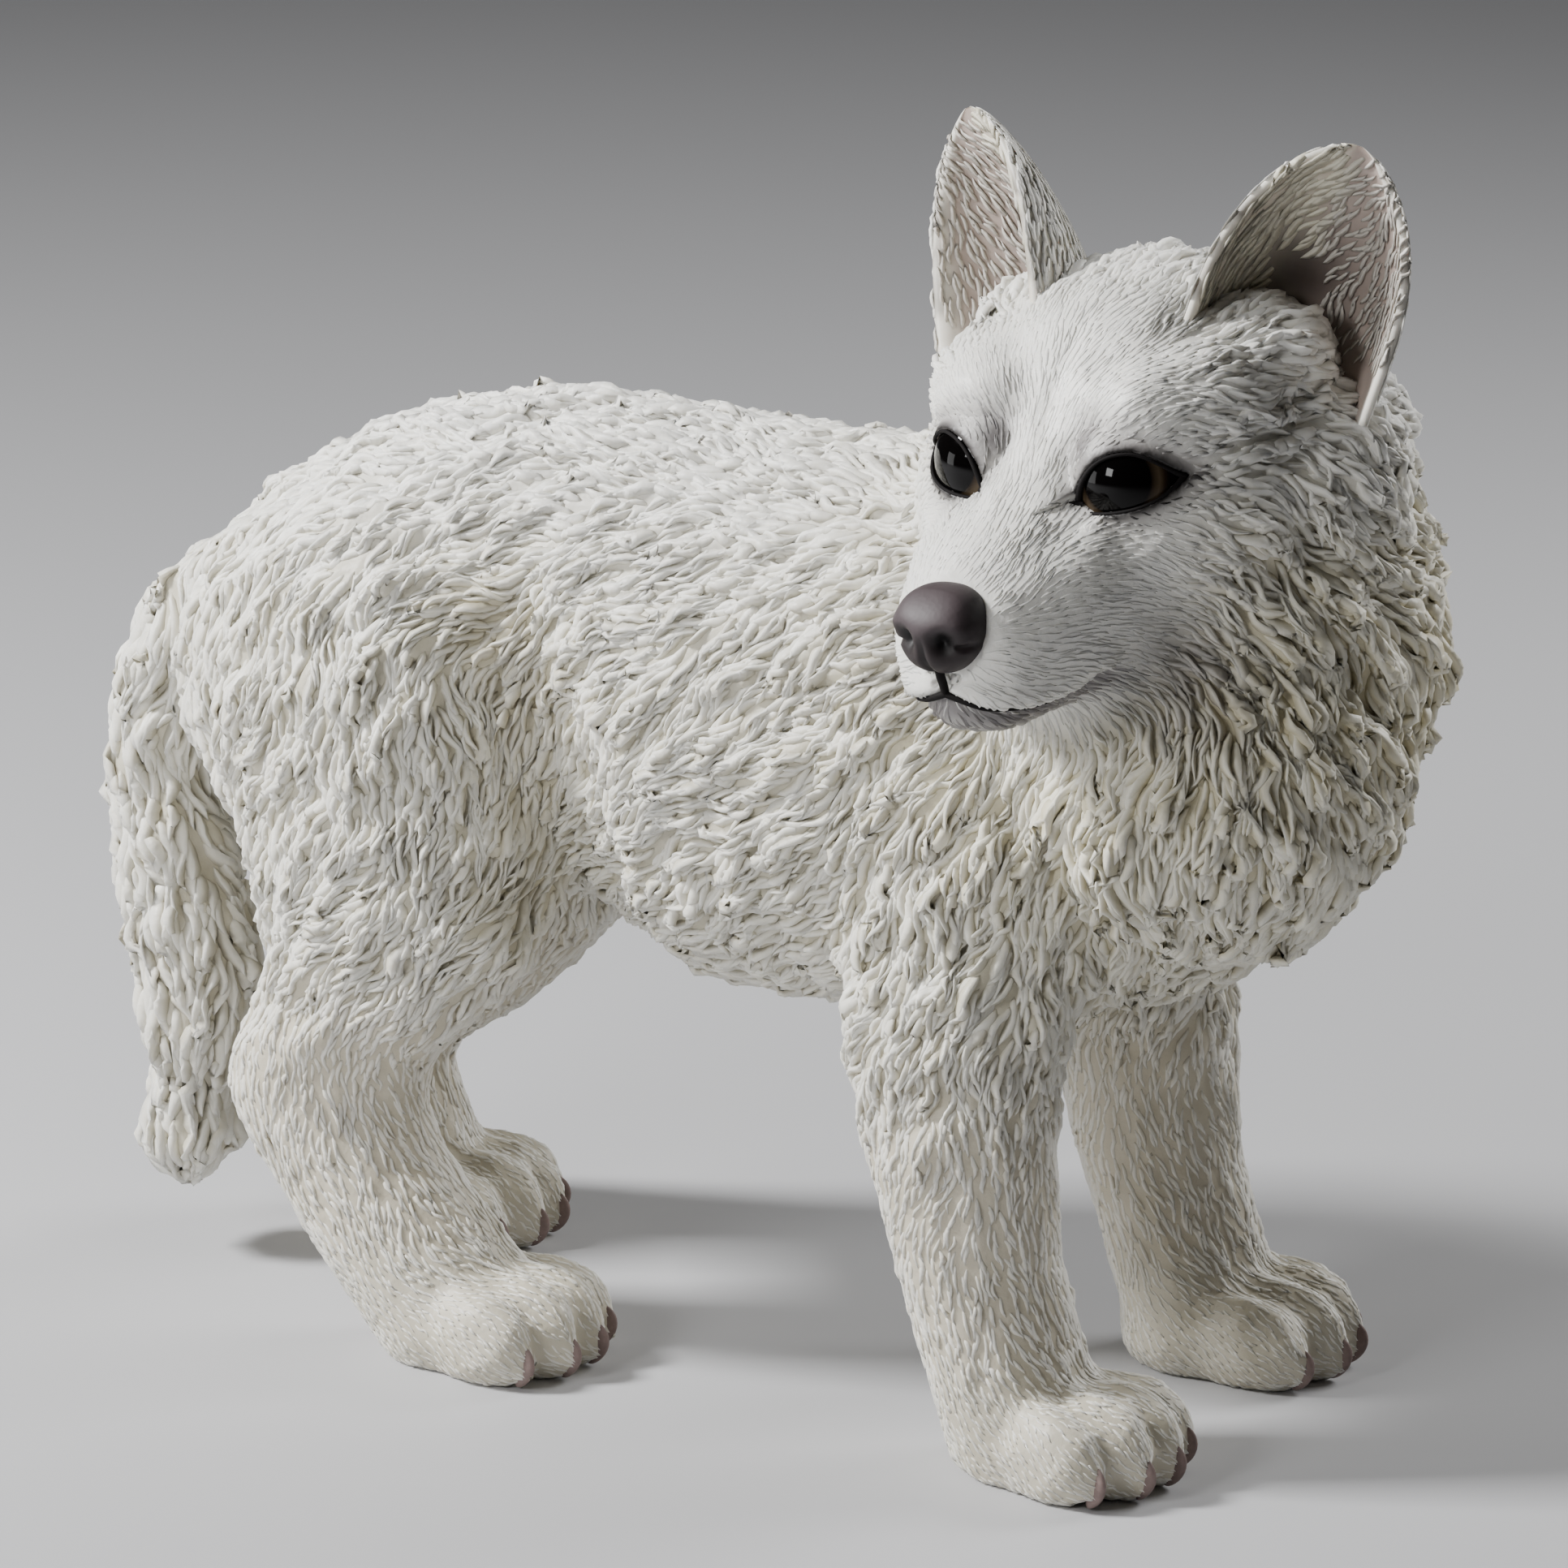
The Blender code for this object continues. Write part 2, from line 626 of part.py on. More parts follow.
def build():
    for old in list(bpy.data.objects):
        bpy.data.objects.remove(old, do_unlink=True)
    parts = bpy.data.collections.new("arctic_wolf_pup_figurine")
    cutters = bpy.data.collections.new("cutters")
    bpy.context.scene.collection.children.link(parts)
    bpy.context.scene.collection.children.link(cutters)

    rest = melt_together(cutters)
    swollen_body = swell_copy(rest, cutters)
    zones = [
        ("tail", tail_zone),
        ("foreleg_right", foreleg_zone(-1)),
        ("foreleg_left", foreleg_zone(1)),
        ("hindleg_right", hindleg_zone(-1)),
        ("hindleg_left", hindleg_zone(1)),
        ("head", head_zone),
        ("neck", neck_zone),
    ]
    made = {}
    for name, zone in zones:
        made[name] = take_part(name, zone, rest, parts, cutters, coat_paint(name))
    trunk = copy_object(rest, "trunk", parts)
    trunk.data.materials.clear()
    trunk.data.materials.append(coat_paint("trunk"))
    bpy.data.objects.remove(rest, do_unlink=True)

    paws = [
        ("paw_fore_right", "foreleg_right", RIGHT_FORE_PAW, 14.0, -8.0),
        ("paw_fore_left", "foreleg_left", LEFT_FORE_PAW, 14.0, -8.0),
        ("paw_hind_right", "hindleg_right", RIGHT_HIND_PAW, 13.0, -12.0),
        ("paw_hind_left", "hindleg_left", LEFT_HIND_PAW, 13.0, -12.0),
    ]
    for name, leg, centre, height, slope in paws:
        take_part(name, paw_zone(centre, height, slope), made[leg], parts, cutters, coat_paint(name))

    head = made["head"]
    for name, side in (("ear_right", -1), ("ear_left", 1)):
        ear_paint = make_material(name + "_paint", (0.62, 0.55, 0.52), 0.55)
        make_ear(name, side, swollen_body, parts, ear_paint)
    nose_paint = make_material("nose_paint", (0.07, 0.055, 0.06), 0.35)
    make_ball_part("nose", NOSE_CENTRE, NOSE_RADII, head, parts, cutters, nose_paint)
    for name, side in (("eye_right", -1), ("eye_left", 1)):
        centre = Vector((EYE_CENTRE.x, side * EYE_CENTRE.y, EYE_CENTRE.z))
        eye_paint = make_material(name + "_paint", (0.012, 0.009, 0.008), 0.05)
        make_ball_part(name, centre, (EYE_RADIUS,) * 3, head, parts, cutters, eye_paint)

    for thing in parts.objects:
        keep_biggest_piece(thing)
        thing.data.shade_smooth()
    centre_on_origin(parts)


build()
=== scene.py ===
"""Arctic wolf pup: a hand-painted cast-resin figurine, about 150 mm tall to its ear tips.

The figure is cast in ivory polyester resin. Its coat is carved in relief as thin curved
locks, whose crests are dry-brushed white, and its eyes, nose, lips, ears and claws are painted
by hand. The frame is in metres; names that end in _mm are millimetres.
"""
import math

import bmesh
import bpy
import numpy as np
from mathutils import Matrix, Vector
from mathutils.bvhtree import BVHTree
from mathutils.kdtree import KDTree


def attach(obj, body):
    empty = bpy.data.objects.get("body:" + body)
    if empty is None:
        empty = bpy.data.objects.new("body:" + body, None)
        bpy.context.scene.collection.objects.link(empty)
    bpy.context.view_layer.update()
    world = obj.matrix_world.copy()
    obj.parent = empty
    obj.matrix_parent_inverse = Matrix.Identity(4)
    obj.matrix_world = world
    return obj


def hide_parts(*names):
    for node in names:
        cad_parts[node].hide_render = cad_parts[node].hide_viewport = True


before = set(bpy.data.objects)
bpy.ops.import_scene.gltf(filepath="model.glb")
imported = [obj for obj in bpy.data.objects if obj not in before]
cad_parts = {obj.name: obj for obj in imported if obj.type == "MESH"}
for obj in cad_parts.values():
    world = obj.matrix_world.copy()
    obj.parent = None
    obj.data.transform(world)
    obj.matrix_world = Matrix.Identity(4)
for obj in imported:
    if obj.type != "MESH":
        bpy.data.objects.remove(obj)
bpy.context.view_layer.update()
MM = 0.001


# ---------------------------------------------------------------- places on the figure
# The face is laid out along the head's own axes, forward, left and up, in millimetres from a
# point between the eyes, and the body from the point on the floor that the stance is laid out
# from. Both come from where the eyeballs and the nose are set in the head.

def centre_of(node):
    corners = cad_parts[node].data.vertices
    return sum((corner.co for corner in corners), Vector()) / len(corners)


EYE_BACK_MM = 4.4           # the eyes' centres lie this far behind the head's origin
EYE_DROP_MM = 1.1           # and this far below it
NOSE_FORWARD_MM = 20.2
NOSE_DROP_MM = 10.3
between_eyes = (centre_of("eye_left") + centre_of("eye_right")) / 2
head_left = (centre_of("eye_left") - centre_of("eye_right")).normalized()
to_nose = centre_of("nose") - between_eyes
to_nose -= head_left * to_nose.dot(head_left)
nose_slope = math.atan2(NOSE_DROP_MM - EYE_DROP_MM, NOSE_FORWARD_MM + EYE_BACK_MM)
head_forward = Matrix.Rotation(-nose_slope, 3, head_left) @ to_nose.normalized()
head_up = head_forward.cross(head_left)
head_origin = between_eyes + (head_forward * EYE_BACK_MM + head_up * EYE_DROP_MM) * MM
head_axes = np.array([head_forward, head_left, head_up])
HEAD_FROM_FLOOR_MM = Vector((43.8, -25.0, 112.4))
stance_origin = head_origin - HEAD_FROM_FLOOR_MM * MM


def to_head(points):
    """Millimetres along the head's axes."""
    return (np.asarray(points) - np.array(head_origin)) @ head_axes.T / MM


def from_head(points_mm):
    return np.asarray(points_mm) @ head_axes * MM + np.array(head_origin)


def to_stance(points):
    """Millimetres from the stance's point on the floor: along the walk, left and up."""
    return (np.asarray(points) - np.array(stance_origin)) / MM


def from_stance(points_mm):
    return np.asarray(points_mm) * MM + np.array(stance_origin)


# ---------------------------------------------------------------- the cast blank
# The body, head, legs and tail are one casting of ivory polyester resin. All parts of the
# solid model are laid together and melted into one skin, which is then pared down by the
# depth of the coat that is carved over it.

FLESH = ["head", "neck", "trunk", "tail"] + [
    part + "_" + side
    for part in ("foreleg", "hindleg", "paw_fore", "paw_hind")
    for side in ("left", "right")
]
FILLERS = ["eye_left", "eye_right", "nose"]
WELD_MM = 0.01
SWELL_MM = 0.28             # closes the thin cuts between the parts
BLANK_VOXEL_MM = 0.62
RUB_PASSES = 26
RUB_STEPS = 10              # the rubbing's strength is set in this many steps


def add_object(name, data):
    thing = bpy.data.objects.new(name, data)
    bpy.context.scene.collection.objects.link(thing)
    return thing


def add_ball(segments, rings, radius, location=(0, 0, 0)):
    bpy.ops.object.select_all(action="DESELECT")
    bpy.ops.mesh.primitive_uv_sphere_add(
        segments=segments, ring_count=rings, radius=radius, location=location)
    return bpy.context.active_object


def pick_only(thing):
    bpy.ops.object.select_all(action="DESELECT")
    thing.select_set(True)
    bpy.context.view_layer.objects.active = thing


def join(things):
    pick_only(things[0])
    for thing in things:
        thing.select_set(True)
    bpy.ops.object.join()
    return things[0]


def vertex_array(thing):
    values = np.empty(len(thing.data.vertices) * 3)
    thing.data.vertices.foreach_get("co", values)
    return values.reshape(-1, 3)


def normal_array(thing):
    values = np.empty(len(thing.data.vertices) * 3)
    thing.data.vertex_normals.foreach_get("vector", values)
    return values.reshape(-1, 3)


def set_vertices(thing, points):
    thing.data.vertices.foreach_set("co", points.ravel())
    thing.data.update()


def triangles_of(skin):
    skin.data.calc_loop_triangles()
    count = len(skin.data.loop_triangles)
    corners = np.empty(count * 3, int)
    skin.data.loop_triangles.foreach_get("vertices", corners)
    loops = np.empty(count * 3, int)
    skin.data.loop_triangles.foreach_get("loops", loops)
    return corners.reshape(-1, 3), loops.reshape(-1, 3)


def snap_to(surface, points):
    """The nearest points on the surface, and its normals there."""
    nearest = np.empty_like(points)
    normals = np.empty_like(points)
    for index, point in enumerate(points):
        place, normal, _, _ = surface.find_nearest(point)
        nearest[index] = place
        normals[index] = normal
    return nearest, normals


def surface_of(skin):
    corners, _ = triangles_of(skin)
    return BVHTree.FromPolygons(vertex_array(skin).tolist(), corners.tolist())


def finder_of(points):
    """A tree that finds the points near a place."""
    finder = KDTree(len(points))
    for index, point in enumerate(points):
        finder.insert(point, index)
    finder.balance()
    return finder


def spread_out(points, order, gaps):
    """Keep points in the given order, dropping those inside the gap of one already kept."""
    finder = finder_of(points)
    free = np.ones(len(points), bool)
    kept = []
    for index in order:
        if free[index]:
            kept.append(index)
            for _, other, _ in finder.find_range(points[index], gaps[index]):
                free[other] = False
    return kept, finder


def melt_blank():
    """Join copies of the parts, with the eyes and nose as fillers, into one smooth skin."""
    copies = []
    for name in FLESH + FILLERS:
        copy = add_object("blank_" + name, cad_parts[name].data.copy())
        shell = bmesh.new()
        shell.from_mesh(copy.data)
        bmesh.ops.remove_doubles(shell, verts=shell.verts, dist=WELD_MM * MM)
        shell.to_mesh(copy.data)
        shell.free()
        swell = 0.0 if name in FILLERS else SWELL_MM
        set_vertices(copy, vertex_array(copy) + normal_array(copy) * swell * MM)
        copies.append(copy)
    blank = join(copies)
    blank.name = "resin_skin"
    blank.data.materials.clear()
    melt = blank.modifiers.new("melt", "REMESH")
    melt.mode = "VOXEL"
    melt.voxel_size = BLANK_VOXEL_MM * MM
    melt.use_smooth_shade = True
    bpy.ops.object.modifier_apply(modifier=melt.name)
    return blank


def soften(blank, passes):
    """Rub the facets off, less on the toes, the muzzle and where the coat is shaggy."""
    points = to_stance(vertex_array(blank))
    face = to_head(vertex_array(blank))
    toes = np.clip((15.0 - points[:, 2]) / 6.0, 0, 1)
    muzzle = np.clip((face[:, 0] - 8.0) / 6.0, 0, 1) * (np.abs(face[:, 1]) < 16)
    off_face = np.clip(np.linalg.norm(face, axis=1) / 8 - 4.0, 0, 1)
    shaggy = np.clip((points[:, 2] - 38.0) / 12.0, 0, 1) * off_face
    weight = 1.0 - np.maximum(np.maximum(0.6 * toes, 0.15 * muzzle), 0.7 * shaggy)
    group = blank.vertex_groups.new(name="rub")
    for step in range(RUB_STEPS + 1):
        chosen = np.nonzero(np.round(weight * RUB_STEPS) == step)[0]
        group.add(chosen.tolist(), step / RUB_STEPS, "REPLACE")
    pick_only(blank)
    rub = blank.modifiers.new("rub", "SMOOTH")
    rub.factor = 0.5
    rub.iterations = passes
    rub.vertex_group = group.name
    bpy.ops.object.modifier_apply(modifier=rub.name)


def refine(blank, inside):
    """Split the faces whose corners are all inside, for finer carving there."""
    pick_only(blank)
    count = len(blank.data.polygons)
    starts = np.empty(count, int)
    blank.data.polygons.foreach_get("loop_start", starts)
    corners = np.empty(len(blank.data.loops), int)
    blank.data.loops.foreach_get("vertex_index", corners)
    chosen = np.minimum.reduceat(inside[corners].astype(int), starts) > 0
    for kind in (blank.data.vertices, blank.data.edges, blank.data.polygons):
        kind.foreach_set("select", np.zeros(len(kind), bool))
    blank.data.polygons.foreach_set("select", chosen)
    bpy.ops.object.mode_set(mode="EDIT")
    bpy.ops.mesh.select_mode(type="FACE")
    bpy.ops.mesh.subdivide(number_cuts=1, smoothness=0.0)
    bpy.ops.object.mode_set(mode="OBJECT")


def smooth_step(values, start, end):
    share = np.clip((values - start) / (end - start), 0, 1)
    return share * share * (3 - 2 * share)


def bump_at(points, centre, radius):
    """1 at the centre, fading to 0 about two radii out."""
    gap = np.linalg.norm((points - np.array(centre)) / np.array(radius), axis=-1)
    return np.exp(-gap * gap)


def bell(gap, width):
    """1 where the gap is nothing, fading to 0 about two widths away."""
    return np.exp(-(gap / width) ** 2)


def mirrored(point, side):
    return (point[0], side * point[1], point[2])


FINE_FACE_RADIUS_MM = 31
FINE_FACE_BACK_MM = -12
SIDES = ((-1, "right"), (1, "left"))
blank = melt_blank()
soften(blank, RUB_PASSES)
face_points = to_head(vertex_array(blank))
on_face = np.linalg.norm(face_points, axis=1) < FINE_FACE_RADIUS_MM
refine(blank, (face_points[:, 0] > FINE_FACE_BACK_MM) & on_face)


# ---------------------------------------------------------------- zones of the coat
# The carver's cuts are deep in the ruff, shallower on the body and legs, and mere strokes on
# the face and paws. These shares, from 0 to 1, say how much of each a point has.

HEAD_MIDDLE_MM = (4.0, 0.0, -2.0)
HEAD_REACH_MM = (30.0, 19.0, 27.0)
RUFF_MIDDLE_MM = (52.0, 4.0, 88.0)
RUFF_REACH_MM = (24.0, 30.0, 26.0)
LEG_TOP_MM = (34, 54)       # the coat changes to a leg's between these heights
PAW_TOP_MM = (9, 17)        # and to a paw's between these
TAIL_FRONT_MM = -68.5       # the tail lies behind this and to the right of the next
TAIL_LEFT_MM = 8.5


def on_tail(body):
    return (body[:, 0] < TAIL_FRONT_MM) & (body[:, 1] < TAIL_LEFT_MM)


def head_share(points):
    face = (to_head(points) - HEAD_MIDDLE_MM) / HEAD_REACH_MM
    return 1 - smooth_step(np.linalg.norm(face, axis=-1), 0.75, 1.2)


def ruff_share(points):
    body = to_stance(points)
    ring = bump_at(body, RUFF_MIDDLE_MM, RUFF_REACH_MM)
    return np.clip(ring * 1.7, 0, 1) * (1 - head_share(points))


def leg_share(points):
    body = to_stance(points)
    return (1 - smooth_step(body[:, 2], *LEG_TOP_MM)) * ~on_tail(body)


def paw_share(points):
    return 1 - smooth_step(to_stance(points)[:, 2], *PAW_TOP_MM)


def by_zone(points, body, ruff, head, leg, paw):
    """A value that changes smoothly from zone to zone."""
    value = body + (ruff - body) * ruff_share(points)
    value = value + (head - value) * head_share(points)
    value = value + (leg - value) * leg_share(points)
    return value + (paw - value) * paw_share(points) * ~on_tail(to_stance(points))


# ---------------------------------------------------------------- the lie of the coat
# Each line says which way the carved hair runs at a place on the body: back from the nose,
# over the brow and cheeks, down the ruff, back along the spine and down the flanks and legs.

BODY_LIE = [
    # a place, and the way the hair runs there; both are mirrored to the other side
    ((30, 0, 108), (-1, 0, -0.15)),
    ((10, 0, 108), (-1, 0, 0)),
    ((-15, 0, 107), (-1, 0, 0)),
    ((-45, 0, 103), (-1, 0, -0.3)),
    ((-66, 4, 92), (-0.6, 0, -0.8)),
    ((30, 27, 80), (-0.55, 0, -0.85)),
    ((20, 22, 98), (-0.8, 0, -0.6)),
    ((5, 27, 80), (-0.7, 0, -0.7)),
    ((5, 22, 58), (-0.75, 0, -0.6)),
    ((-18, 23, 88), (-0.75, 0, -0.65)),
    ((-20, 22, 65), (-0.45, 0, -0.9)),
    ((-5, 4, 45), (-1, 0, 0)),
    ((20, 4, 45), (-1, 0, 0)),
    ((-40, 22, 95), (-0.55, 0, -0.85)),
    ((-42, 27, 78), (-0.1, 0, -1)),
    ((-30, 25, 66), (-0.2, 0, -1)),
    ((-62, 17, 75), (-0.2, 0, -1)),
    ((-40, 27, 58), (-0.6, 0, -0.8)),
    ((-22, 20, 56), (-0.8, 0, -0.6)),
    ((-42, 25, 45), (-0.6, 0, -0.8)),
    ((-50, 18, 30), (0.1, 0, -1)),
    ((-60, 18, 30), (0.0, 0, -1)),
    ((-40, 17, 15), (0.5, 0, -0.9)),
    ((-28, 17, 9), (1, 0, -0.35)),
    ((-60, 19, 12), (0.6, 0, -0.8)),
    ((-52, 19, 9), (1, 0, -0.3)),
    ((-78, 0, 75), (-0.1, 0, -1)),
    ((-79, 0, 50), (0.0, 0, -1)),
    ((-77, 0, 20), (0.0, 0, -1)),
    ((62, 8, 86), (0.0, 0.1, -1)),
    ((62, 0, 70), (-0.25, 0, -1)),
    ((54, 10, 55), (-0.5, 0, -0.9)),
    ((45, 27, 95), (-0.35, 0.1, -0.95)),
    ((58, 22, 84), (-0.1, 0.15, -1)),
    ((40, 27, 75), (-0.5, 0, -0.9)),
    ((31, 27, 55), (-0.3, 0, -0.95)),
    ((33, 21, 35), (0.0, 0, -1)),
    ((37, 21, 15), (0.35, 0, -0.95)),
    ((45, 21, 9), (1, 0, -0.35)),
]
HEAD_LIE = [
    ((12, 3, -7), (-1, 0.12, 0.35)),
    ((1, 2, 0), (-0.6, 0.25, 0.8)),
    ((-8, 5, 12), (-0.8, 0.35, 0.5)),
    ((-20, 5, 17), (-1, 0.15, 0.0)),
    ((-3, 9, 6), (-0.5, 0.7, 0.5)),
    ((-7, 16, 4), (-0.6, 0.8, -0.1)),
    ((-12, 14, 11), (-0.8, 0.55, 0.25)),
    ((4, 9, -8), (-0.8, 0.55, -0.3)),
    ((13, 8, -13), (-0.9, 0.25, -0.25)),
    ((-3, 16, -7), (-0.65, 0.6, -0.5)),
    ((-8, 19, -12), (-0.5, 0.5, -0.75)),
    ((-20, 25, -8), (-0.6, 0.4, -0.7)),
    ((4, 8, -22), (-0.85, 0.3, -0.45)),
    ((15, 2, -23), (-0.95, 0.1, -0.3)),
    ((-4, 3, -26), (-0.7, 0.1, -0.75)),
    ((-34, 8, 4), (-0.8, 0, -0.6)),
    ((-26, 22, 6), (-0.75, 0.4, -0.55)),
]


def lie_guides():
    places = []
    ways = []
    for place, way in BODY_LIE:
        for side in (-1, 1):
            places.append(mirrored(place, side))
            ways.append(mirrored(way, side))
    for place, way in HEAD_LIE:
        for side in (-1, 1):
            in_frame = from_head(np.array([mirrored(place, side)]))
            places.append(to_stance(in_frame)[0])
            ways.append(np.array(mirrored(way, side)) @ head_axes)
    ways = np.array(ways, float)
    return np.array(places, float), ways / np.linalg.norm(ways, axis=1, keepdims=True)


LIE_PLACES, LIE_WAYS = lie_guides()
LIE_REACH_MM = 3.0          # a guide's pull evens out closer than this
SWIRL = (0.34, 0.34, 0.12, 0.2, 0.15)   # in the body, ruff, head, legs and paws


def slow_waves(points_mm, wavelength_mm, seed):
    """Even noise from about -1 to 1, made of crossing waves."""
    dice = np.random.default_rng(seed)
    ways = dice.normal(size=(8, 3))
    ways /= np.linalg.norm(ways, axis=1, keepdims=True)
    rates = 2 * math.pi / wavelength_mm * dice.uniform(0.6, 1.5, 8)
    waves = np.sin(points_mm @ (ways * rates[:, None]).T + dice.uniform(0, 2 * math.pi, 8))
    return waves.sum(1) / 3.2


def coat_flow(points, normals):
    """The way the hair runs along the surface, with slow swirls in it."""
    body = to_stance(points)
    flow = np.zeros((len(body), 3))
    total = np.zeros(len(body))
    for place, way in zip(LIE_PLACES, LIE_WAYS):
        weight = 1 / (((body - place) ** 2).sum(1) + LIE_REACH_MM ** 2) ** 2
        flow += weight[:, None] * way
        total += weight
    flow /= total[:, None]
    flow -= normals * (flow * normals).sum(1, keepdims=True)
    flow /= np.linalg.norm(flow, axis=1, keepdims=True) + 1e-9
    waves = 0.8 * slow_waves(body, 10.0, 5) + 0.8 * slow_waves(body, 26.0, 6)
    angle = by_zone(points, *SWIRL) * waves
    aside = np.cross(normals, flow)
    return flow * np.cos(angle)[:, None] + aside * np.sin(angle)[:, None]


# ---------------------------------------------------------------- tufts
# Before the fine cuts the carver heaped the coat up in tufts that overlap like shingles: each
# rises from its root towards a rounded point and drops off there.

TUFT_SIZES = {
    # body, ruff, head, legs, paws
    "length": (6.4, 11.0, 3.0, 4.4, 3.0),
    "width": (3.2, 4.8, 1.8, 2.4, 1.6),
    "height": (0.8, 2.0, 0.0, 0.2, 0.0),
    "spacing": (3.3, 4.6, 3.0, 3.0, 3.0),
}
LOWEST_TUFT_MM = 0.1


def heap_tufts(blank):
    """Raise the tufts from the skin and return the places of their points."""
    points = vertex_array(blank)
    normals = normal_array(blank)
    dice = np.random.default_rng(3)
    shaggy = np.nonzero(by_zone(points, *TUFT_SIZES["height"]) > LOWEST_TUFT_MM)[0]
    spacing = by_zone(points, *TUFT_SIZES["spacing"]) * MM
    roots, finder = spread_out(points, dice.permutation(shaggy), spacing)
    vary = dice.uniform(0.7, 1.3, (3, len(roots)))
    lengths, widths, heights = (
        by_zone(points[roots], *TUFT_SIZES[size]) * share
        for size, share in zip(("length", "width", "height"), vary))
    ways = coat_flow(points[roots], normals[roots])
    asides = np.cross(normals[roots], ways)
    rise = np.zeros(len(points))
    tufts = zip(roots, ways, asides, lengths, widths, heights)
    for root, way, aside, length, width, height in tufts:
        near = np.array([other for _, other, _ in finder.find_range(points[root], length * MM)])
        offset = (points[near] - points[root]) / MM
        share = offset @ way / length
        half = 0.5 * width * np.clip(1.15 - share, 0, 1) ** 0.6
        across = np.clip(np.abs(offset @ aside) / np.maximum(half, 0.1), 0, 1)
        climb = np.clip(share / 0.75, 0, 1) * (1 - smooth_step(share, 0.86, 1.0))
        facing = np.clip(normals[near] @ normals[root], 0, 1)
        rise[near] = np.maximum(rise[near], height * climb * (1 - across ** 2) * facing)
    set_vertices(blank, points + normals * rise[:, None] * MM)
    return points[roots] + (ways * lengths[:, None] + normals[roots] * heights[:, None]) * MM


FLANK_FOLD_MM = (
    # a place, its reach and the depth of the hollow there; both are mirrored to the other side
    ((-23.5, 22.0, 86.0), (6.5, 10.0, 8.0), 1.6),
    ((-22.0, 21.5, 77.0), (6.5, 10.0, 8.0), 2.2),
    ((-21.0, 20.0, 67.0), (6.0, 10.0, 8.0), 2.8),
    ((-21.0, 18.0, 57.0), (5.5, 10.0, 6.0), 3.4),
)
HAUNCH_SWELL_MM = ((-38.0, 25.0, 72.0), (9.0, 10.0, 16.0), -1.8)
BELLY_SWELL_MM = ((-4.0, 23.0, 70.0), (9.0, 9.0, 13.0), -0.5)
THROAT_HOLLOW_MM = ((61.0, 25.0, 62.5), (7.0, 8.0, 4.0), 2.4)
BELLY_TUCK_MM = ((-13.0, 12.0, 54.0), (9.0, 10.0, 6.0), 2.2)


def press_folds(blank):
    """Press the flanks in, swell haunches and belly, tuck the belly up and hollow the throat."""
    points = vertex_array(blank)
    body = to_stance(points)
    inward = np.zeros(len(points))
    tuck = np.zeros(len(points))
    hollow = np.zeros(len(points))
    for side in (-1, 1):
        for amount, rows in (
                (inward, (*FLANK_FOLD_MM, HAUNCH_SWELL_MM, BELLY_SWELL_MM)),
                (tuck, (BELLY_TUCK_MM,)), (hollow, (THROAT_HOLLOW_MM,))):
            for place, reach, depth in rows:
                amount += depth * bump_at(body, mirrored(place, side), reach)
    points -= normal_array(blank) * hollow[:, None] * MM
    points[:, 1] -= np.sign(body[:, 1]) * inward * MM
    points[:, 2] += tuck * MM
    set_vertices(blank, points)


# ---------------------------------------------------------------- carving of the face
# The lids, brow, lips and cheeks are cut into the skin. An eye opens as a slanted almond on
# its ball, under lids that hug the ball, and the mouth is a shallow cut with a slight smile.

EYE_RADIUS_MM = 7.0
EYE_ASIDE_MM = 8.6          # from the middle of the head to each eye's centre
EYE_SPLAY = math.radians(30.0)
EYE_HALF_LENGTH_MM = 5.7
UPPER_LID = (4.75, -0.36)    # height of the lid's arch over the corners' line, and its lean
LOWER_LID = (-0.95, 0.45)
LIP_MEETING_MM = (20.8, 0.0, -17.5)
LIP_KNOTS_MM = (
    LIP_MEETING_MM, (20.4, 1.8, -18.1), (19.7, 3.6, -18.7), (18.6, 5.2, -19.2), (17.0, 6.4, -19.7),
    (14.8, 7.1, -20.0), (12.4, 7.7, -20.2), (10.0, 8.5, -20.0), (8.4, 9.3, -19.5), (7.3, 10.2, -18.7))
LIP_STEPS = 61
CORNER_LINE = (-0.3, 0.265)  # height at the middle and slope of the line between the corners
FAR_MM = 99.0                # stands for any distance too far to matter
FACE_RELIEF_MM = (
    # a place, its reach and how far it stands out; all are mirrored to the other side
    ((4.5, 5.6, -3.0), (4.0, 2.8, 3.4), -0.1),
    ((2.6, 5.0, 3.6), (3.0, 2.2, 2.8), -0.9),
    ((-0.5, 8.0, 8.4), (3.0, 4.5, 1.9), 0.5),
    ((-17.5, 20.0, 11.5), (5.0, 5.0, 5.5), -1.2),
    ((2.0, 12.0, -8.5), (4.5, 5.0, 3.0), 0.5),
    ((7.5, 9.5, -9.0), (5.0, 4.5, 4.5), 1.3),
    ((13.5, 7.5, -12.0), (4.5, 4.0, 4.0), 0.7),
)
MIDLINE_RELIEF_MM = (
    # the same on the middle of the face: the nose's bed, the lip's groove, the brow's furrow
    ((22.0, 0, -10.3), (3.6, 4.2, 4.6), -4.2),
    ((20.5, 0, -15.8), (2.0, 0.45, 1.4), -0.5),
    ((-4.0, 0, 8.5), (9.0, 1.3, 9.0), -0.35),
)


def eye_axes(side):
    """Along the opening to its outer corner, up and outwards, along the head's axes."""
    outward = np.array((math.cos(EYE_SPLAY), side * math.sin(EYE_SPLAY), 0.0))
    along = np.array((-math.sin(EYE_SPLAY), side * math.cos(EYE_SPLAY), 0.0))
    return np.array((along, (0.0, 0.0, 1.0), outward))


def eye_centre(side):
    return np.array((-EYE_BACK_MM, side * EYE_ASIDE_MM, -EYE_DROP_MM))


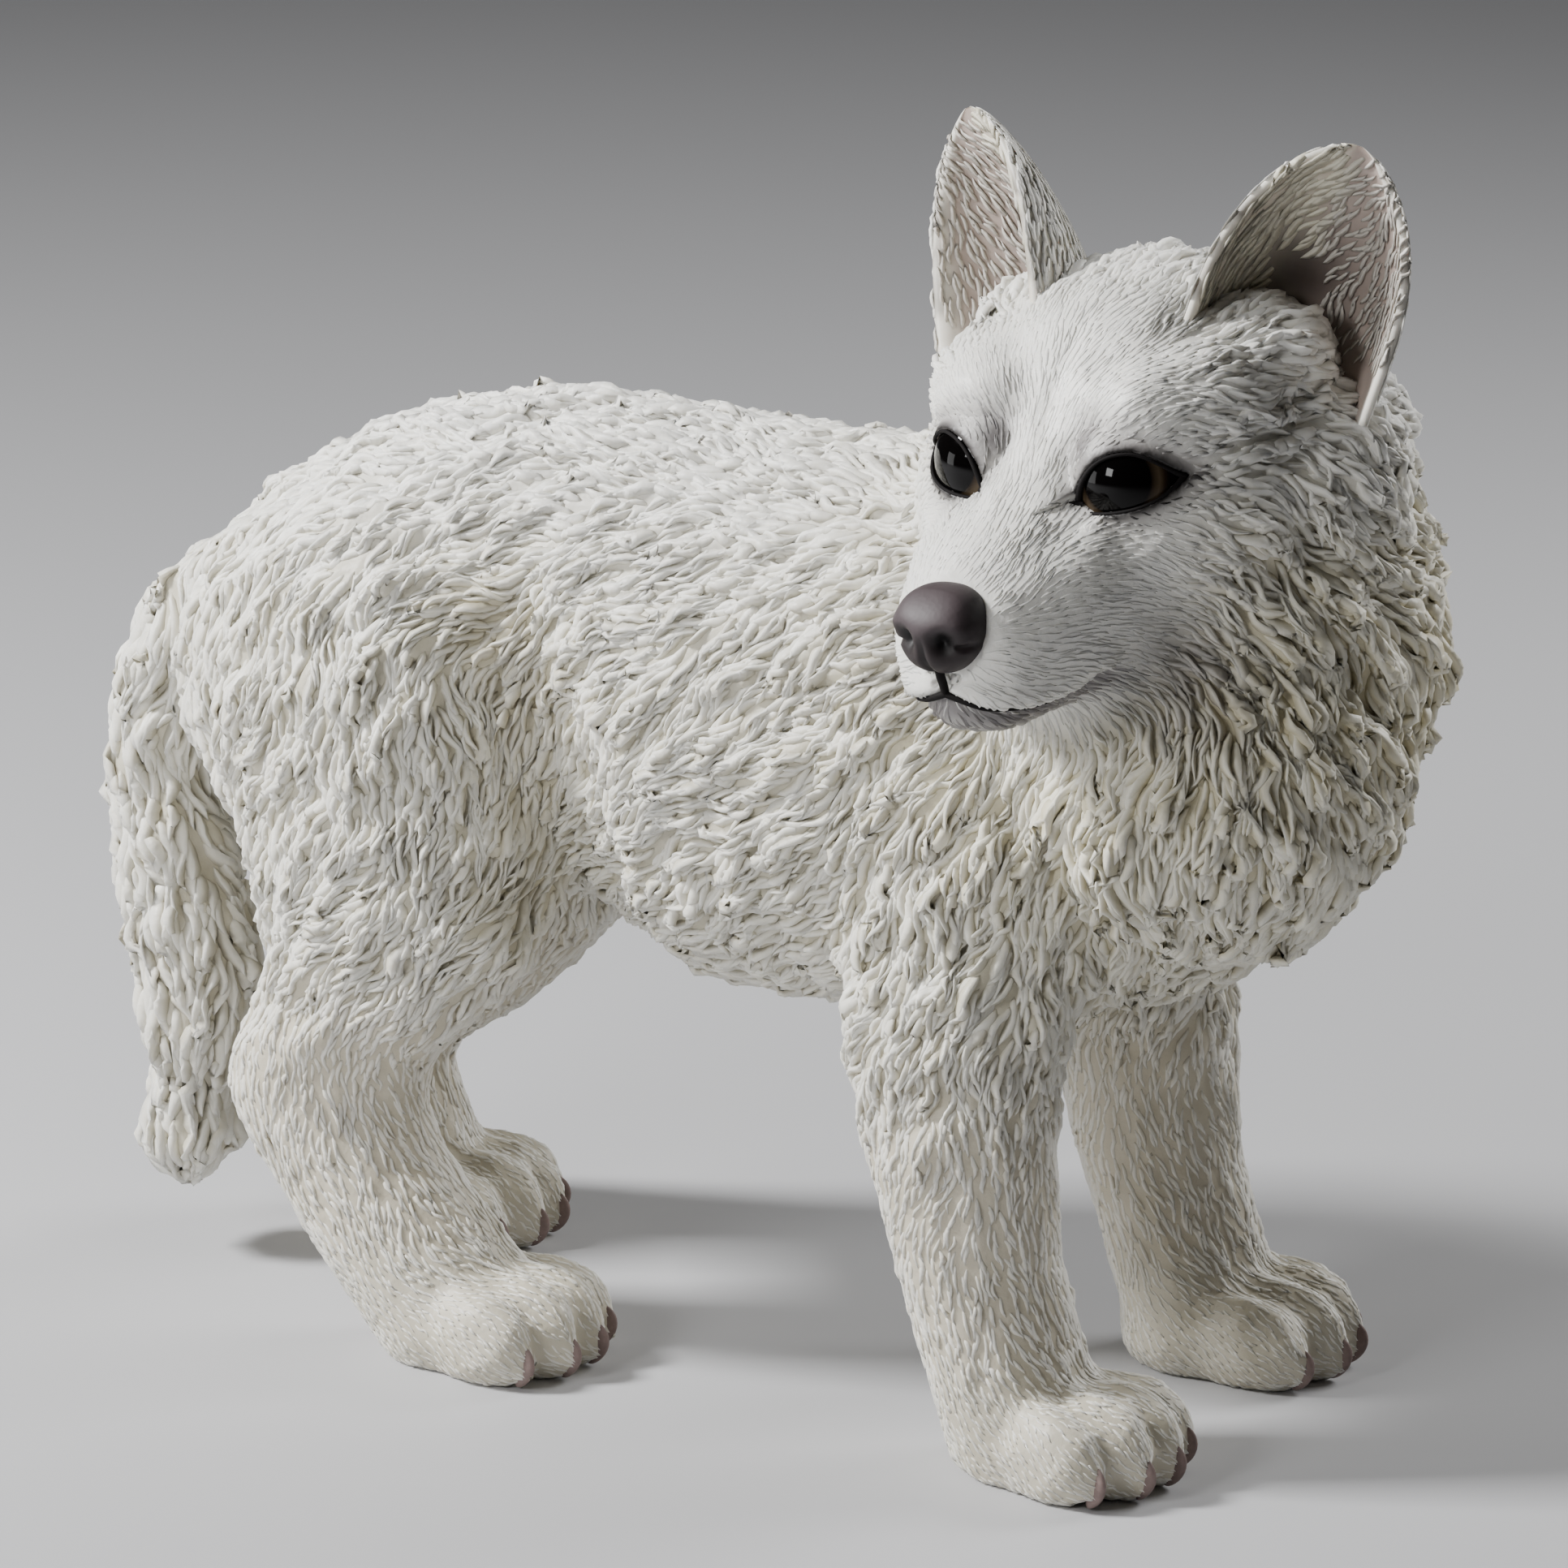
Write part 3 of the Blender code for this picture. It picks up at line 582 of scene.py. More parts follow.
def lid_height(along, lid):
    arch, lean = lid
    place = np.clip(along / EYE_HALF_LENGTH_MM, -1, 1)
    arch = arch * (1 - place ** 2) ** np.where(place > 0, 1.0, 0.48) * (1 + lean * place)
    return CORNER_LINE[0] + CORNER_LINE[1] * along + arch


def lid_ring(side, radius, steps=64):
    """The almond edge of the lids, on a ball of the given radius, along the head's axes."""
    turn = np.linspace(0, 2 * math.pi, steps, endpoint=False)
    along = EYE_HALF_LENGTH_MM * np.cos(turn)
    up = np.where(np.sin(turn) >= 0, lid_height(along, UPPER_LID), lid_height(along, LOWER_LID))
    out = np.sqrt(radius ** 2 - along ** 2 - up ** 2)
    return eye_centre(side) + np.stack((along, up, out), 1) @ eye_axes(side)


def gap_to_line(points, line, closed=False):
    """Distance from each point to a line of points."""
    ends = np.roll(line, -1, 0) if closed else line[1:]
    starts = line if closed else line[:-1]
    best = np.full(len(points), np.inf)
    for start, end in zip(starts, ends):
        run = end - start
        share = np.clip((points - start) @ run / (run @ run), 0, 1)
        gap = np.linalg.norm(points - start - share[:, None] * run, axis=1)
        best = np.minimum(best, gap)
    return best


def lid_gap(face):
    """Distance to the nearer lid's edge, where it isn't far from both."""
    gap = np.full(len(face), FAR_MM)
    for side in (-1, 1):
        near = np.linalg.norm(face - eye_centre(side), axis=1) < 14
        ring = lid_ring(side, EYE_RADIUS_MM + 0.3)
        gap[near] = np.minimum(gap[near], gap_to_line(face[near], ring, closed=True))
    return gap


def carve_eye(face, side):
    """Lay the lids close over the eye's ball and sink the skin out of the opening."""
    offset = (face - eye_centre(side)) @ eye_axes(side).T
    near = (np.linalg.norm(offset, axis=1) < 13) & (offset[:, 2] > 0)
    spot = offset[near]
    distance = np.linalg.norm(spot, axis=1)
    along, up = spot[:, 0] * EYE_RADIUS_MM / distance, spot[:, 1] * EYE_RADIUS_MM / distance
    rim = gap_to_line(face[near], lid_ring(side, EYE_RADIUS_MM + 0.2), closed=True)
    open_here = (np.abs(along) < EYE_HALF_LENGTH_MM) & (up < lid_height(along, UPPER_LID))
    open_here &= up > lid_height(along, LOWER_LID)
    below = CORNER_LINE[0] + CORNER_LINE[1] * along - up
    hug = bell(rim, 1.7 + 1.1 * smooth_step(below, -0.5, 1.0))
    fold = bell(rim - 1.9, 0.55) * smooth_step(up, 0.0, 2.5)
    lid = EYE_RADIUS_MM + 0.55 + 0.10 * rim
    radius = distance + (lid - distance) * hug - 0.35 * fold
    sunk = EYE_RADIUS_MM - 1.1
    radius = np.maximum(radius, EYE_RADIUS_MM + 0.4)
    radius = np.where(open_here, sunk + (radius - sunk) * bell(rim, 0.28), radius)
    spot *= (radius / distance)[:, None]
    face[near] = eye_centre(side) + spot @ eye_axes(side)


def smooth_path(surface, knots, count):
    """A line through the knots, laid on the skin and eased."""
    knots = np.array(knots)
    steps = np.linspace(0, len(knots) - 1, count)
    line = np.stack([np.interp(steps, range(len(knots)), knots[:, axis]) for axis in range(3)], 1)
    for _ in range(3):
        line = to_head(snap_to(surface, from_head(line))[0])
        for _ in range(6):
            line[1:-1] = (line[:-2] + 2 * line[1:-1] + line[2:]) / 4
    return line


def lip_offset(face):
    """How far a point is from the mouth, and how far above its lips' line."""
    gap = np.full(len(face), FAR_MM)
    above = np.full(len(face), FAR_MM)
    near = (face[:, 0] > 0) & (face[:, 2] < -10)
    spots = face[near]
    for line in (*lip_lines.values(), lip_crease):
        apart = np.linalg.norm(spots[:, None] - line, axis=2)
        closest = apart.argmin(1)
        nearer = apart.min(1) < gap[near]
        gap[near] = np.where(nearer, apart.min(1), gap[near])
        above[near] = np.where(nearer, spots[:, 2] - line[closest, 2], above[near])
    return gap, above


def carve_face(blank):
    """Model the face and lips in relief, then open the eyes."""
    points = vertex_array(blank)
    face = to_head(points)
    normals = normal_array(blank) @ head_axes.T
    push = np.zeros(len(face))
    for side in (-1, 1):
        for place, reach, height in FACE_RELIEF_MM:
            push += height * bump_at(face, mirrored(place, side), reach)
    gap, above = lip_offset(face)
    upper = smooth_step(above, -0.15, 0.25)
    push += 0.55 * bell(gap - 1.3, 1.4) * upper
    push -= 0.75 * bell(gap - 0.9, 1.2) * (1 - upper)
    push -= 0.25 * bell(gap, 0.5)
    for place, reach, height in MIDLINE_RELIEF_MM:
        push += height * bump_at(face, place, reach)
    face = face + normals * push[:, None]
    for side in (-1, 1):
        carve_eye(face, side)
    set_vertices(blank, from_head(face))


COAT_DEPTH_MM = (1.05, 1.8, 0.16, 0.46, 0.22)   # in the body, ruff, head, legs and paws
FINE_EYE_MM = (2.0, 9.5, -1.0)
FINE_EYE_RADIUS_MM = 9.5
pare_mm = by_zone(vertex_array(blank), *COAT_DEPTH_MM) + 0.5 * SWELL_MM
set_vertices(blank, vertex_array(blank) - normal_array(blank) * pare_mm[:, None] * MM)
tuft_tips = heap_tufts(blank)
press_folds(blank)
face_points = to_head(vertex_array(blank))
eye_gap = np.minimum(*(
    np.linalg.norm(face_points - mirrored(FINE_EYE_MM, side), axis=1) for side in (-1, 1)))
refine(blank, eye_gap < FINE_EYE_RADIUS_MM)
bare_skin = surface_of(blank)
lip_crease = smooth_path(bare_skin, ((21.2, 0, -15.4), (21.0, 0, -17.0), LIP_MEETING_MM), 12)
lip_lines = {
    side: smooth_path(bare_skin, np.array(LIP_KNOTS_MM) * (1, side, 1), LIP_STEPS)
    for side in (-1, 1)
}
carve_face(blank)


# ---------------------------------------------------------------- painted markings
# The ivory resin is washed cream in the ruff, tan down the legs and grey round the eyes and
# # lips. Some of this is painted light and shade: grey as painted shade under the brow, in the
# # eye sockets, under the jaw and chin and deep in the flank folds, and paler valleys as painted
# # light on the top of the back. Skin and locks carry the same washes, worked out from where a
# # point lies.

GREY_AND_SHADE_SPOTS_MM = (
    # a place on the face, its reach and the strength of the grey there, which is painted shade in
    #     # the sockets by the inner corners, over the lids and under the jaw; all are mirrored
    ((0.6, 5.4, 3.4), (3.6, 2.5, 4.0), 1.0),
    ((3.2, 5.6, -1.8), (2.8, 2.0, 3.0), 0.9),
    ((-0.3, 9.2, 4.8), (3.5, 4.0, 2.0), 0.6),
    ((0.0, 14.5, -20.0), (7.0, 5.5, 6.0), 0.7),
)


def markings(points):
    """The strength of each wash at the points."""
    face = to_head(points)
    body = to_stance(points)
    cream = np.clip(0.9 * ruff_share(points) * (1 - smooth_step(body[:, 2], 104, 122)), 0, 1)
    # Round the lids a grey wash, made stronger above the eye as painted shade under the brow.
    rim = np.maximum(lid_gap(face) - 0.4, 0)
    grey = (0.7 + 0.25 * smooth_step(face[:, 2], -1.0, 3.0)) * bell(rim, 2.0)
    # Painted shade in the sockets by the inner corners, over the lids and under the jaw.
    for side in (-1, 1):
        for place, reach, strength in GREY_AND_SHADE_SPOTS_MM:
            grey = np.maximum(grey, strength * bump_at(face, mirrored(place, side), reach))
    # Below the mouth the lip is grey: grey paint, made darker as painted shade under the muzzle.
    gap, above = lip_offset(face)
    lower = smooth_step(-above, -0.1, 0.3)
    grey = np.maximum(grey, np.exp(-(gap / 4.5) ** 4) * lower)
    liner_and_shade = np.maximum(bell(rim, 0.5), 0.95 * bell(gap, 0.5))
    # A dark core of painted shade in the socket by each eye's inner corner; the rest of this wash is
    # the painted lid and mouth line.
    for side in (-1, 1):
        liner_and_shade = np.maximum(liner_and_shade, 0.4 * bump_at(face, (0.8, side * 6.0, 3.2), (2.0, 1.4, 2.4)))
    # Grey under the chin: painted shade.
    grey = np.maximum(grey, 0.6 * bump_at(face, (16.5, 0, -21.5), (5.0, 4.5, 2.2)))
    tan = 0.55 * leg_share(points) * (1 - 0.5 * paw_share(points))
    # The valleys are paler on the head, and towards the top of the back as painted light from above.
    pale = np.clip(head_share(points) + smooth_step(body[:, 2], 84, 108), 0, 1)
    # The cream wash settles in the flank folds; the grey in their depths is painted shade.
    for place, reach, _ in FLANK_FOLD_MM:
        for side in (-1, 1):
            fold = bump_at(body, mirrored(place, side), reach)
            cream = np.maximum(cream, 0.5 * fold)
            grey = np.maximum(grey, 0.4 * fold ** 2)
    pale *= 1 - 0.7 * cream
    return {"cream": cream, "grey": grey, "tan": tan, "pale": pale, "liner_and_shade": liner_and_shade}


def set_attribute(thing, name, values):
    layer = thing.data.attributes.get(name) or thing.data.attributes.new(name, "FLOAT", "POINT")
    layer.data.foreach_set("value", np.ascontiguousarray(values, dtype=np.float32))


def mark(thing, points):
    for name, values in markings(points).items():
        set_attribute(thing, name, values)


def linear(colour):
    """A linear colour from its sRGB hex value."""
    channels = [int(colour[i:i + 2], 16) / 255 for i in (1, 3, 5)]
    return [c / 12.92 if c <= 0.04045 else ((c + 0.055) / 1.055) ** 2.4 for c in channels] + [1.0]


def add_node(tree, kind, settings=None, **links):
    """Add a node, set its properties and its sockets, or link them to other nodes' outputs."""
    node = tree.nodes.new(kind)
    for key, value in (settings or {}).items():
        setattr(node, key, value)
    for key, value in links.items():
        name = key.replace("_", " ")
        socket = node.inputs[int(name[1:])] if name[1:].isdigit() else node.inputs[name]
        if isinstance(value, bpy.types.NodeSocket):
            tree.links.new(value, socket)
        else:
            socket.default_value = value
    return node


def new_material(name):
    """A material with a bare Principled shader."""
    material = bpy.data.materials.new(name)
    material.use_nodes = True
    return material, material.node_tree, material.node_tree.nodes["Principled BSDF"]


def noise(tree, place, scale, detail):
    texture = add_node(tree, "ShaderNodeTexNoise", Vector=place, Scale=scale, Detail=detail)
    return texture.outputs["Fac"]


def arithmetic(tree, operation, first, second, third=0.0, clamp=False):
    settings = {"operation": operation, "use_clamp": clamp}
    return add_node(tree, "ShaderNodeMath", settings, s0=first, s1=second, s2=third).outputs[0]


def blend(tree, amount, first, second):
    """From the first colour to the second as the amount goes from 0 to 1."""
    return add_node(
        tree, "ShaderNodeMix", {"data_type": "RGBA"}, s0=amount, s6=first, s7=second).outputs[2]


def attribute(tree, name):
    return add_node(tree, "ShaderNodeAttribute", {"attribute_name": name}).outputs["Fac"]


def washed(tree, base, layers):
    """Lay washes of colour over a base, each as strong as its attribute says."""
    colour = base
    for name, strength, tint in layers:
        amount = arithmetic(tree, "MULTIPLY", attribute(tree, name), strength)
        colour = blend(tree, amount, colour, linear(tint))
    return colour


def finish_shader(tree, shader, colour, height, bump, **values):
    """Join the colour and a bump of the given strength and distance, and set the rest."""
    relief = add_node(
        tree, "ShaderNodeBump", Strength=bump[0], Distance=bump[1], Height=height)
    tree.links.new(colour, shader.inputs["Base Color"])
    tree.links.new(relief.outputs["Normal"], shader.inputs["Normal"])
    for name, value in values.items():
        shader.inputs[name.replace("_", " ")].default_value = value


# Near-black of the painted lid, lip and ear lines, also used for painted shade by the eyes.
LINER_AND_SHADE_BLACK = "#17120f"


# Cast polyester resin: ivory where the wash settles in the cuts, near white where the dry
# # brush caught the crests, satin, and a little light passes into it. Its grey and black washes
# # are partly painted shade, and its pale wash is partly painted light on the back.
def coat_resin():
    material, tree, shader = new_material("cast_resin_dry_brushed")
    place = add_node(tree, "ShaderNodeTexCoord").outputs["Object"]
    base = blend(tree, noise(tree, place, 170.0, 3.0), linear("#b4ae99"), linear("#cdc8b8"))
    valleys = washed(tree, base, [
        ("pale", 0.85, "#e2e0da"), ("cream", 0.75, "#cdc08c"), ("tan", 0.3, "#c0ab90"),
        ("grey", 0.9, "#6a6465"), ("liner_and_shade", 1.0, LINER_AND_SHADE_BLACK)])
    crests = washed(tree, linear("#f3f2ec"), [
        ("cream", 0.5, "#ebe2bd"), ("grey", 0.94, "#6b6667"), ("liner_and_shade", 1.0, LINER_AND_SHADE_BLACK)])
    catch = arithmetic(tree, "MULTIPLY_ADD", noise(tree, place, 900.0, 2.0), 0.5, 0.6)
    brushed = arithmetic(tree, "MULTIPLY", attribute(tree, "crest"), catch, clamp=True)
    pits = noise(tree, place, 2600.0, 3.0)
    relief = arithmetic(tree, "MULTIPLY_ADD", noise(tree, place, 620.0, 2.0), 3.0, pits)
    finish_shader(
        tree, shader, blend(tree, brushed, valleys, crests), relief, (0.35, 0.00012),
        Roughness=0.46, Subsurface_Weight=0.12, Subsurface_Radius=(1.0, 0.85, 0.6),
        Subsurface_Scale=0.8 * MM)
    return material


def finish_piece(thing, material, nodes=()):
    """Smooth it, paint it and tie it to the figure."""
    thing.data.materials.clear()
    thing.data.materials.append(material)
    thing.data.shade_smooth()
    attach(thing, "root")
    if nodes:
        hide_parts(*nodes)


SKIN_TRIANGLES = 185000
resin = coat_resin()
pick_only(blank)
thin = blank.modifiers.new("thin", "DECIMATE")
triangle_count = sum(len(face.vertices) - 2 for face in blank.data.polygons)
thin.ratio = min(1.0, SKIN_TRIANGLES / triangle_count)
bpy.ops.object.modifier_apply(modifier=thin.name)
mark(blank, vertex_array(blank))
near_lids = bell(lid_gap(to_head(vertex_array(blank))), 2.2)
set_attribute(blank, "crest", 0.55 * head_share(vertex_array(blank)) * (1 - 0.7 * near_lids))
finish_piece(blank, resin, FLESH)


# ---------------------------------------------------------------- eyes
# Each eye is a glossy ball under clear varnish: a wide black pupil, a dark brown iris that is
# lighter at its rim, and near-black corners. A painted black line runs round the lids.

PUPIL_MM = 3.6
IRIS_MM = 5.2
EYE_PAINT_MM = 6            # the eye's colours are laid out over this distance from its axis
GAZE = (-1.4, 1.9, 6.6)     # along the opening, up and outwards
CORNEA_MM = 0.35            # how far the ball bulges over the pupil
LID_BEAD_MM = 0.34          # the lid line's height over the ball
LID_BEAD_STEPS = 72
TEAR_LINE_MM = ((-5.4, -1.6, 4.6), (-6.2, -2.1, 4.4), (-6.9, -2.5, 4.3))


def eye_varnish(name, centre, gaze):
    material, tree, shader = new_material(name)
    place = add_node(tree, "ShaderNodeTexCoord").outputs["Object"]
    spot = add_node(tree, "ShaderNodeVectorMath", {"operation": "SUBTRACT"}, s0=place, s1=centre)
    turned = add_node(
        tree, "ShaderNodeVectorMath", {"operation": "CROSS_PRODUCT"}, s0=spot.outputs[0], s1=gaze)
    off_axis = add_node(tree, "ShaderNodeVectorMath", {"operation": "LENGTH"}, s0=turned.outputs[0])
    share = arithmetic(tree, "MULTIPLY", off_axis.outputs["Value"], 1 / (EYE_PAINT_MM * MM))
    ramp = add_node(tree, "ShaderNodeValToRGB", s0=share)
    stops = ramp.color_ramp.elements
    stops[0].position = PUPIL_MM / EYE_PAINT_MM
    stops[0].color = linear("#050404")
    stops[1].position = (PUPIL_MM + 0.15) / EYE_PAINT_MM
    stops[1].color = linear("#211a13")
    for inside_mm, tint in ((0.8, "#4c4031"), (0.35, "#2a1e15"), (0, "#0d0a09")):
        stop = stops.new((IRIS_MM - inside_mm) / EYE_PAINT_MM)
        stop.color = linear(tint)
    tree.links.new(ramp.outputs["Color"], shader.inputs["Base Color"])
    shader.inputs["Roughness"].default_value = 0.05
    shader.inputs["Specular IOR Level"].default_value = 0.17
    return material


def painted(name, colour, roughness):
    """Matt or satin acrylic paint, a little uneven where the brush overlapped."""
    material, tree, shader = new_material(name)
    place = add_node(tree, "ShaderNodeTexCoord").outputs["Object"]
    strokes = noise(tree, place, 1500.0, 2.0)
    darker = [0.6 * c for c in linear(colour)[:3]] + [1.0]
    finish_shader(
        tree, shader, blend(tree, strokes, linear(colour), darker), strokes, (0.25, 0.00006),
        Roughness=roughness, Specular_IOR_Level=0.2)
    return material


def bead(name, line, radii_mm, closed=False):
    """A thin painted line that stands a little proud: a round bead along the points."""
    curve = bpy.data.curves.new(name, "CURVE")
    curve.dimensions = "3D"
    curve.bevel_depth = MM
    curve.bevel_resolution = 2
    curve.use_fill_caps = True
    spline = curve.splines.new("POLY")
    spline.points.add(len(line) - 1)
    spline.use_cyclic_u = closed
    for knot, place, radius in zip(spline.points, from_head(line), radii_mm):
        knot.co = (*place, 1.0)
        knot.radius = radius
    pick_only(add_object(name, curve))
    bpy.ops.object.convert(target="MESH")
    return bpy.context.active_object


def on_skin(line, proud_mm):
    """The line laid on the skin, a little proud of it."""
    places, normals = snap_to(skin_surface, from_head(line))
    return to_head(places + normals * proud_mm * MM)


skin_surface = surface_of(blank)
lid_paint = painted("black_acrylic_line", "#100c0c", 0.8)
for side, name in SIDES:
    axes = eye_axes(side)
    gaze = np.array(GAZE) @ axes @ head_axes
    gaze /= np.linalg.norm(gaze)
    centre = from_head(eye_centre(side))
    eye = add_ball(72, 48, EYE_RADIUS_MM * MM, centre)
    bpy.ops.object.transform_apply(location=True)
    eye.name = "eye_ball_" + name
    spots = vertex_array(eye)
    off_gaze = np.linalg.norm(np.cross(spots - centre, gaze), axis=1) / MM
    in_front = (spots - centre) @ gaze > 0
    bulge = CORNEA_MM * MM * bell(off_gaze, 3.4) * in_front
    set_vertices(eye, spots + bulge[:, None] * gaze)
    varnish = eye_varnish("varnished_eye_" + name, centre, gaze)
    finish_piece(eye, varnish, ["eye_" + name])
    ring = lid_ring(side, EYE_RADIUS_MM + LID_BEAD_MM, LID_BEAD_STEPS)
    turn = np.linspace(0, 2 * math.pi, LID_BEAD_STEPS, endpoint=False)
    line = bead("lid_line_" + name, ring, 0.2 + 0.2 * np.abs(np.cos(turn)) ** 6, closed=True)
    finish_piece(line, lid_paint)
    tear = eye_centre(side) + np.array(TEAR_LINE_MM) @ axes
    tear = bead("tear_line_" + name, on_skin(tear, 0.0), (0.4, 0.3, 0.1))
    finish_piece(tear, lid_paint)


# ---------------------------------------------------------------- nose and lips
# The nose leather is modelled with its flat top, two comma-shaped nostrils and the groove
# between them, and painted purple-brown with a grey dry-brushed top.

NOSE_MIDDLE_MM = (19.8, 0.0, -10.5)
NOSE_RADII_MM = (4.6, 5.0, 4.65)
NOSE_TOP_MM = (4.4, 0.8, 0.85)   # height of the flat top, where it starts to fall, its slope
NOSTRIL_DEPTH_MM = 1.9
GROOVE_DEPTH_MM = 0.5
WING_SWELL_MM = 0.4


def nose_leather():
    material, tree, shader = new_material("nose_acrylic_dry_brushed")
    place = add_node(tree, "ShaderNodeTexCoord").outputs["Object"]
    grain = add_node(tree, "ShaderNodeTexVoronoi", Vector=place, Scale=1900.0)
    base = blend(tree, noise(tree, place, 520.0, 3.0), linear("#1d1718"), linear("#362c2d"))
    colour = washed(tree, base, [("top", 0.45, "#5c5255"), ("pit", 1.0, "#060505")])
    finish_shader(
        tree, shader, colour, grain.outputs["Distance"], (0.25, 0.00005),
        Roughness=0.55, Specular_IOR_Level=0.35)
    return material


nose = add_ball(96, 72, 1.0)
nose.name = "nose_leather"
ball = vertex_array(nose)
shape = np.sign(ball) * np.abs(ball) ** 0.86 * NOSE_RADII_MM
shape[:, 1] *= 1 - 0.12 * smooth_step(-ball[:, 2], 0.1, 1.0)
flat = NOSE_TOP_MM[0] - NOSE_TOP_MM[2] * np.maximum(shape[:, 0] - NOSE_TOP_MM[1], 0)
over = shape[:, 2] - flat
shape[:, 2] -= 0.45 * np.log1p(np.exp(over / 0.3)) * 0.3
pit = np.zeros(len(ball))
for side in (-1, 1):
    pit = np.maximum(pit, bump_at(ball, (0.80, side * 0.48, -0.08), (0.5, 0.27, 0.27)))
    pit = np.maximum(pit, 0.55 * bump_at(ball, (0.60, side * 0.74, -0.18), (0.5, 0.26, 0.09)))
    wing = bump_at(ball, (0.66, side * 0.70, 0.16), (0.6, 0.34, 0.2))
    shape += ball * wing[:, None] * WING_SWELL_MM
groove = bell(ball[:, 1], 0.055) * smooth_step(-ball[:, 2], -0.15, 0.2) * (ball[:, 0] > 0)
shape -= ball * (NOSTRIL_DEPTH_MM * pit + GROOVE_DEPTH_MM * groove)[:, None]
set_vertices(nose, from_head(shape + NOSE_MIDDLE_MM))
set_attribute(nose, "top", smooth_step(over, -2.2, -0.6) * smooth_step(ball[:, 2], -0.1, 0.3))
set_attribute(nose, "pit", np.clip(pit * 1.3 + groove * 0.8, 0, 1))
finish_piece(nose, nose_leather(), ["nose"])

lip_paint = painted("lip_acrylic_line", "#120e0d", 0.8)
for side, name in SIDES:
    line = lip_lines[side] - (0.12, 0.1 * side, 0)
    lip = bead("lip_line_" + name, line, np.linspace(0.4, 0.16, LIP_STEPS))
    finish_piece(lip, lip_paint)
crease = np.concatenate(([(21.6, 0, -14.4)], lip_crease)) - (0.15, 0, 0)
crease = bead("lip_crease", crease, np.linspace(0.5, 0.42, len(crease)))
finish_piece(crease, lip_paint)


# ---------------------------------------------------------------- ears
# Each ear is a thin cup that leans outwards, white behind and painted taupe inside, with
# # painted shade darkening the hollow near its root and a broken dark line along its rim.

EAR_BASE_MM = np.array((-18.9, 19.6, 10.8))
EAR_TIP_MM = np.array((-26.6, 24.8, 28.9))
EAR_INNER_CORNER_MM = np.array((-16.0, 11.0, 17.0))
EAR_OUTER_CORNER_MM = np.array((-21.4, 28.3, 4.7))
EAR_HALF_WIDTH_MM = 11.0
EAR_DEPTH_MM = 12.8
EAR_TOP_SHARE = 1.045       # of the way from base to tip; the cup ends here
EAR_ROOT_SHARE = 1.345      # and starts this much lower, inside the head
EAR_RINGS = 34
EAR_ARC = 28


def ear_paint():
    material, tree, shader = new_material("ear_acrylic_wash")
    place = add_node(tree, "ShaderNodeTexCoord").outputs["Object"]
    streaks = noise(tree, place, 700.0, 4.0)
    base = blend(tree, streaks, linear("#d8d3c6"), linear("#efece3"))
    # The hollow's dark brown is painted shade deep in the cup.
    colour = washed(tree, base, [
        ("cup", 0.8, "#947f76"), ("fleece", 0.7, "#d5cdbb"), ("hollow", 0.9, "#2e2320"),
        ("rim", 0.85, "#3b302a")])
    finish_shader(
        tree, shader, colour, streaks, (0.4, 0.0001), Roughness=0.5, Subsurface_Weight=0.12,
        Subsurface_Radius=(1.0, 0.7, 0.5), Subsurface_Scale=0.8 * MM)
    return material


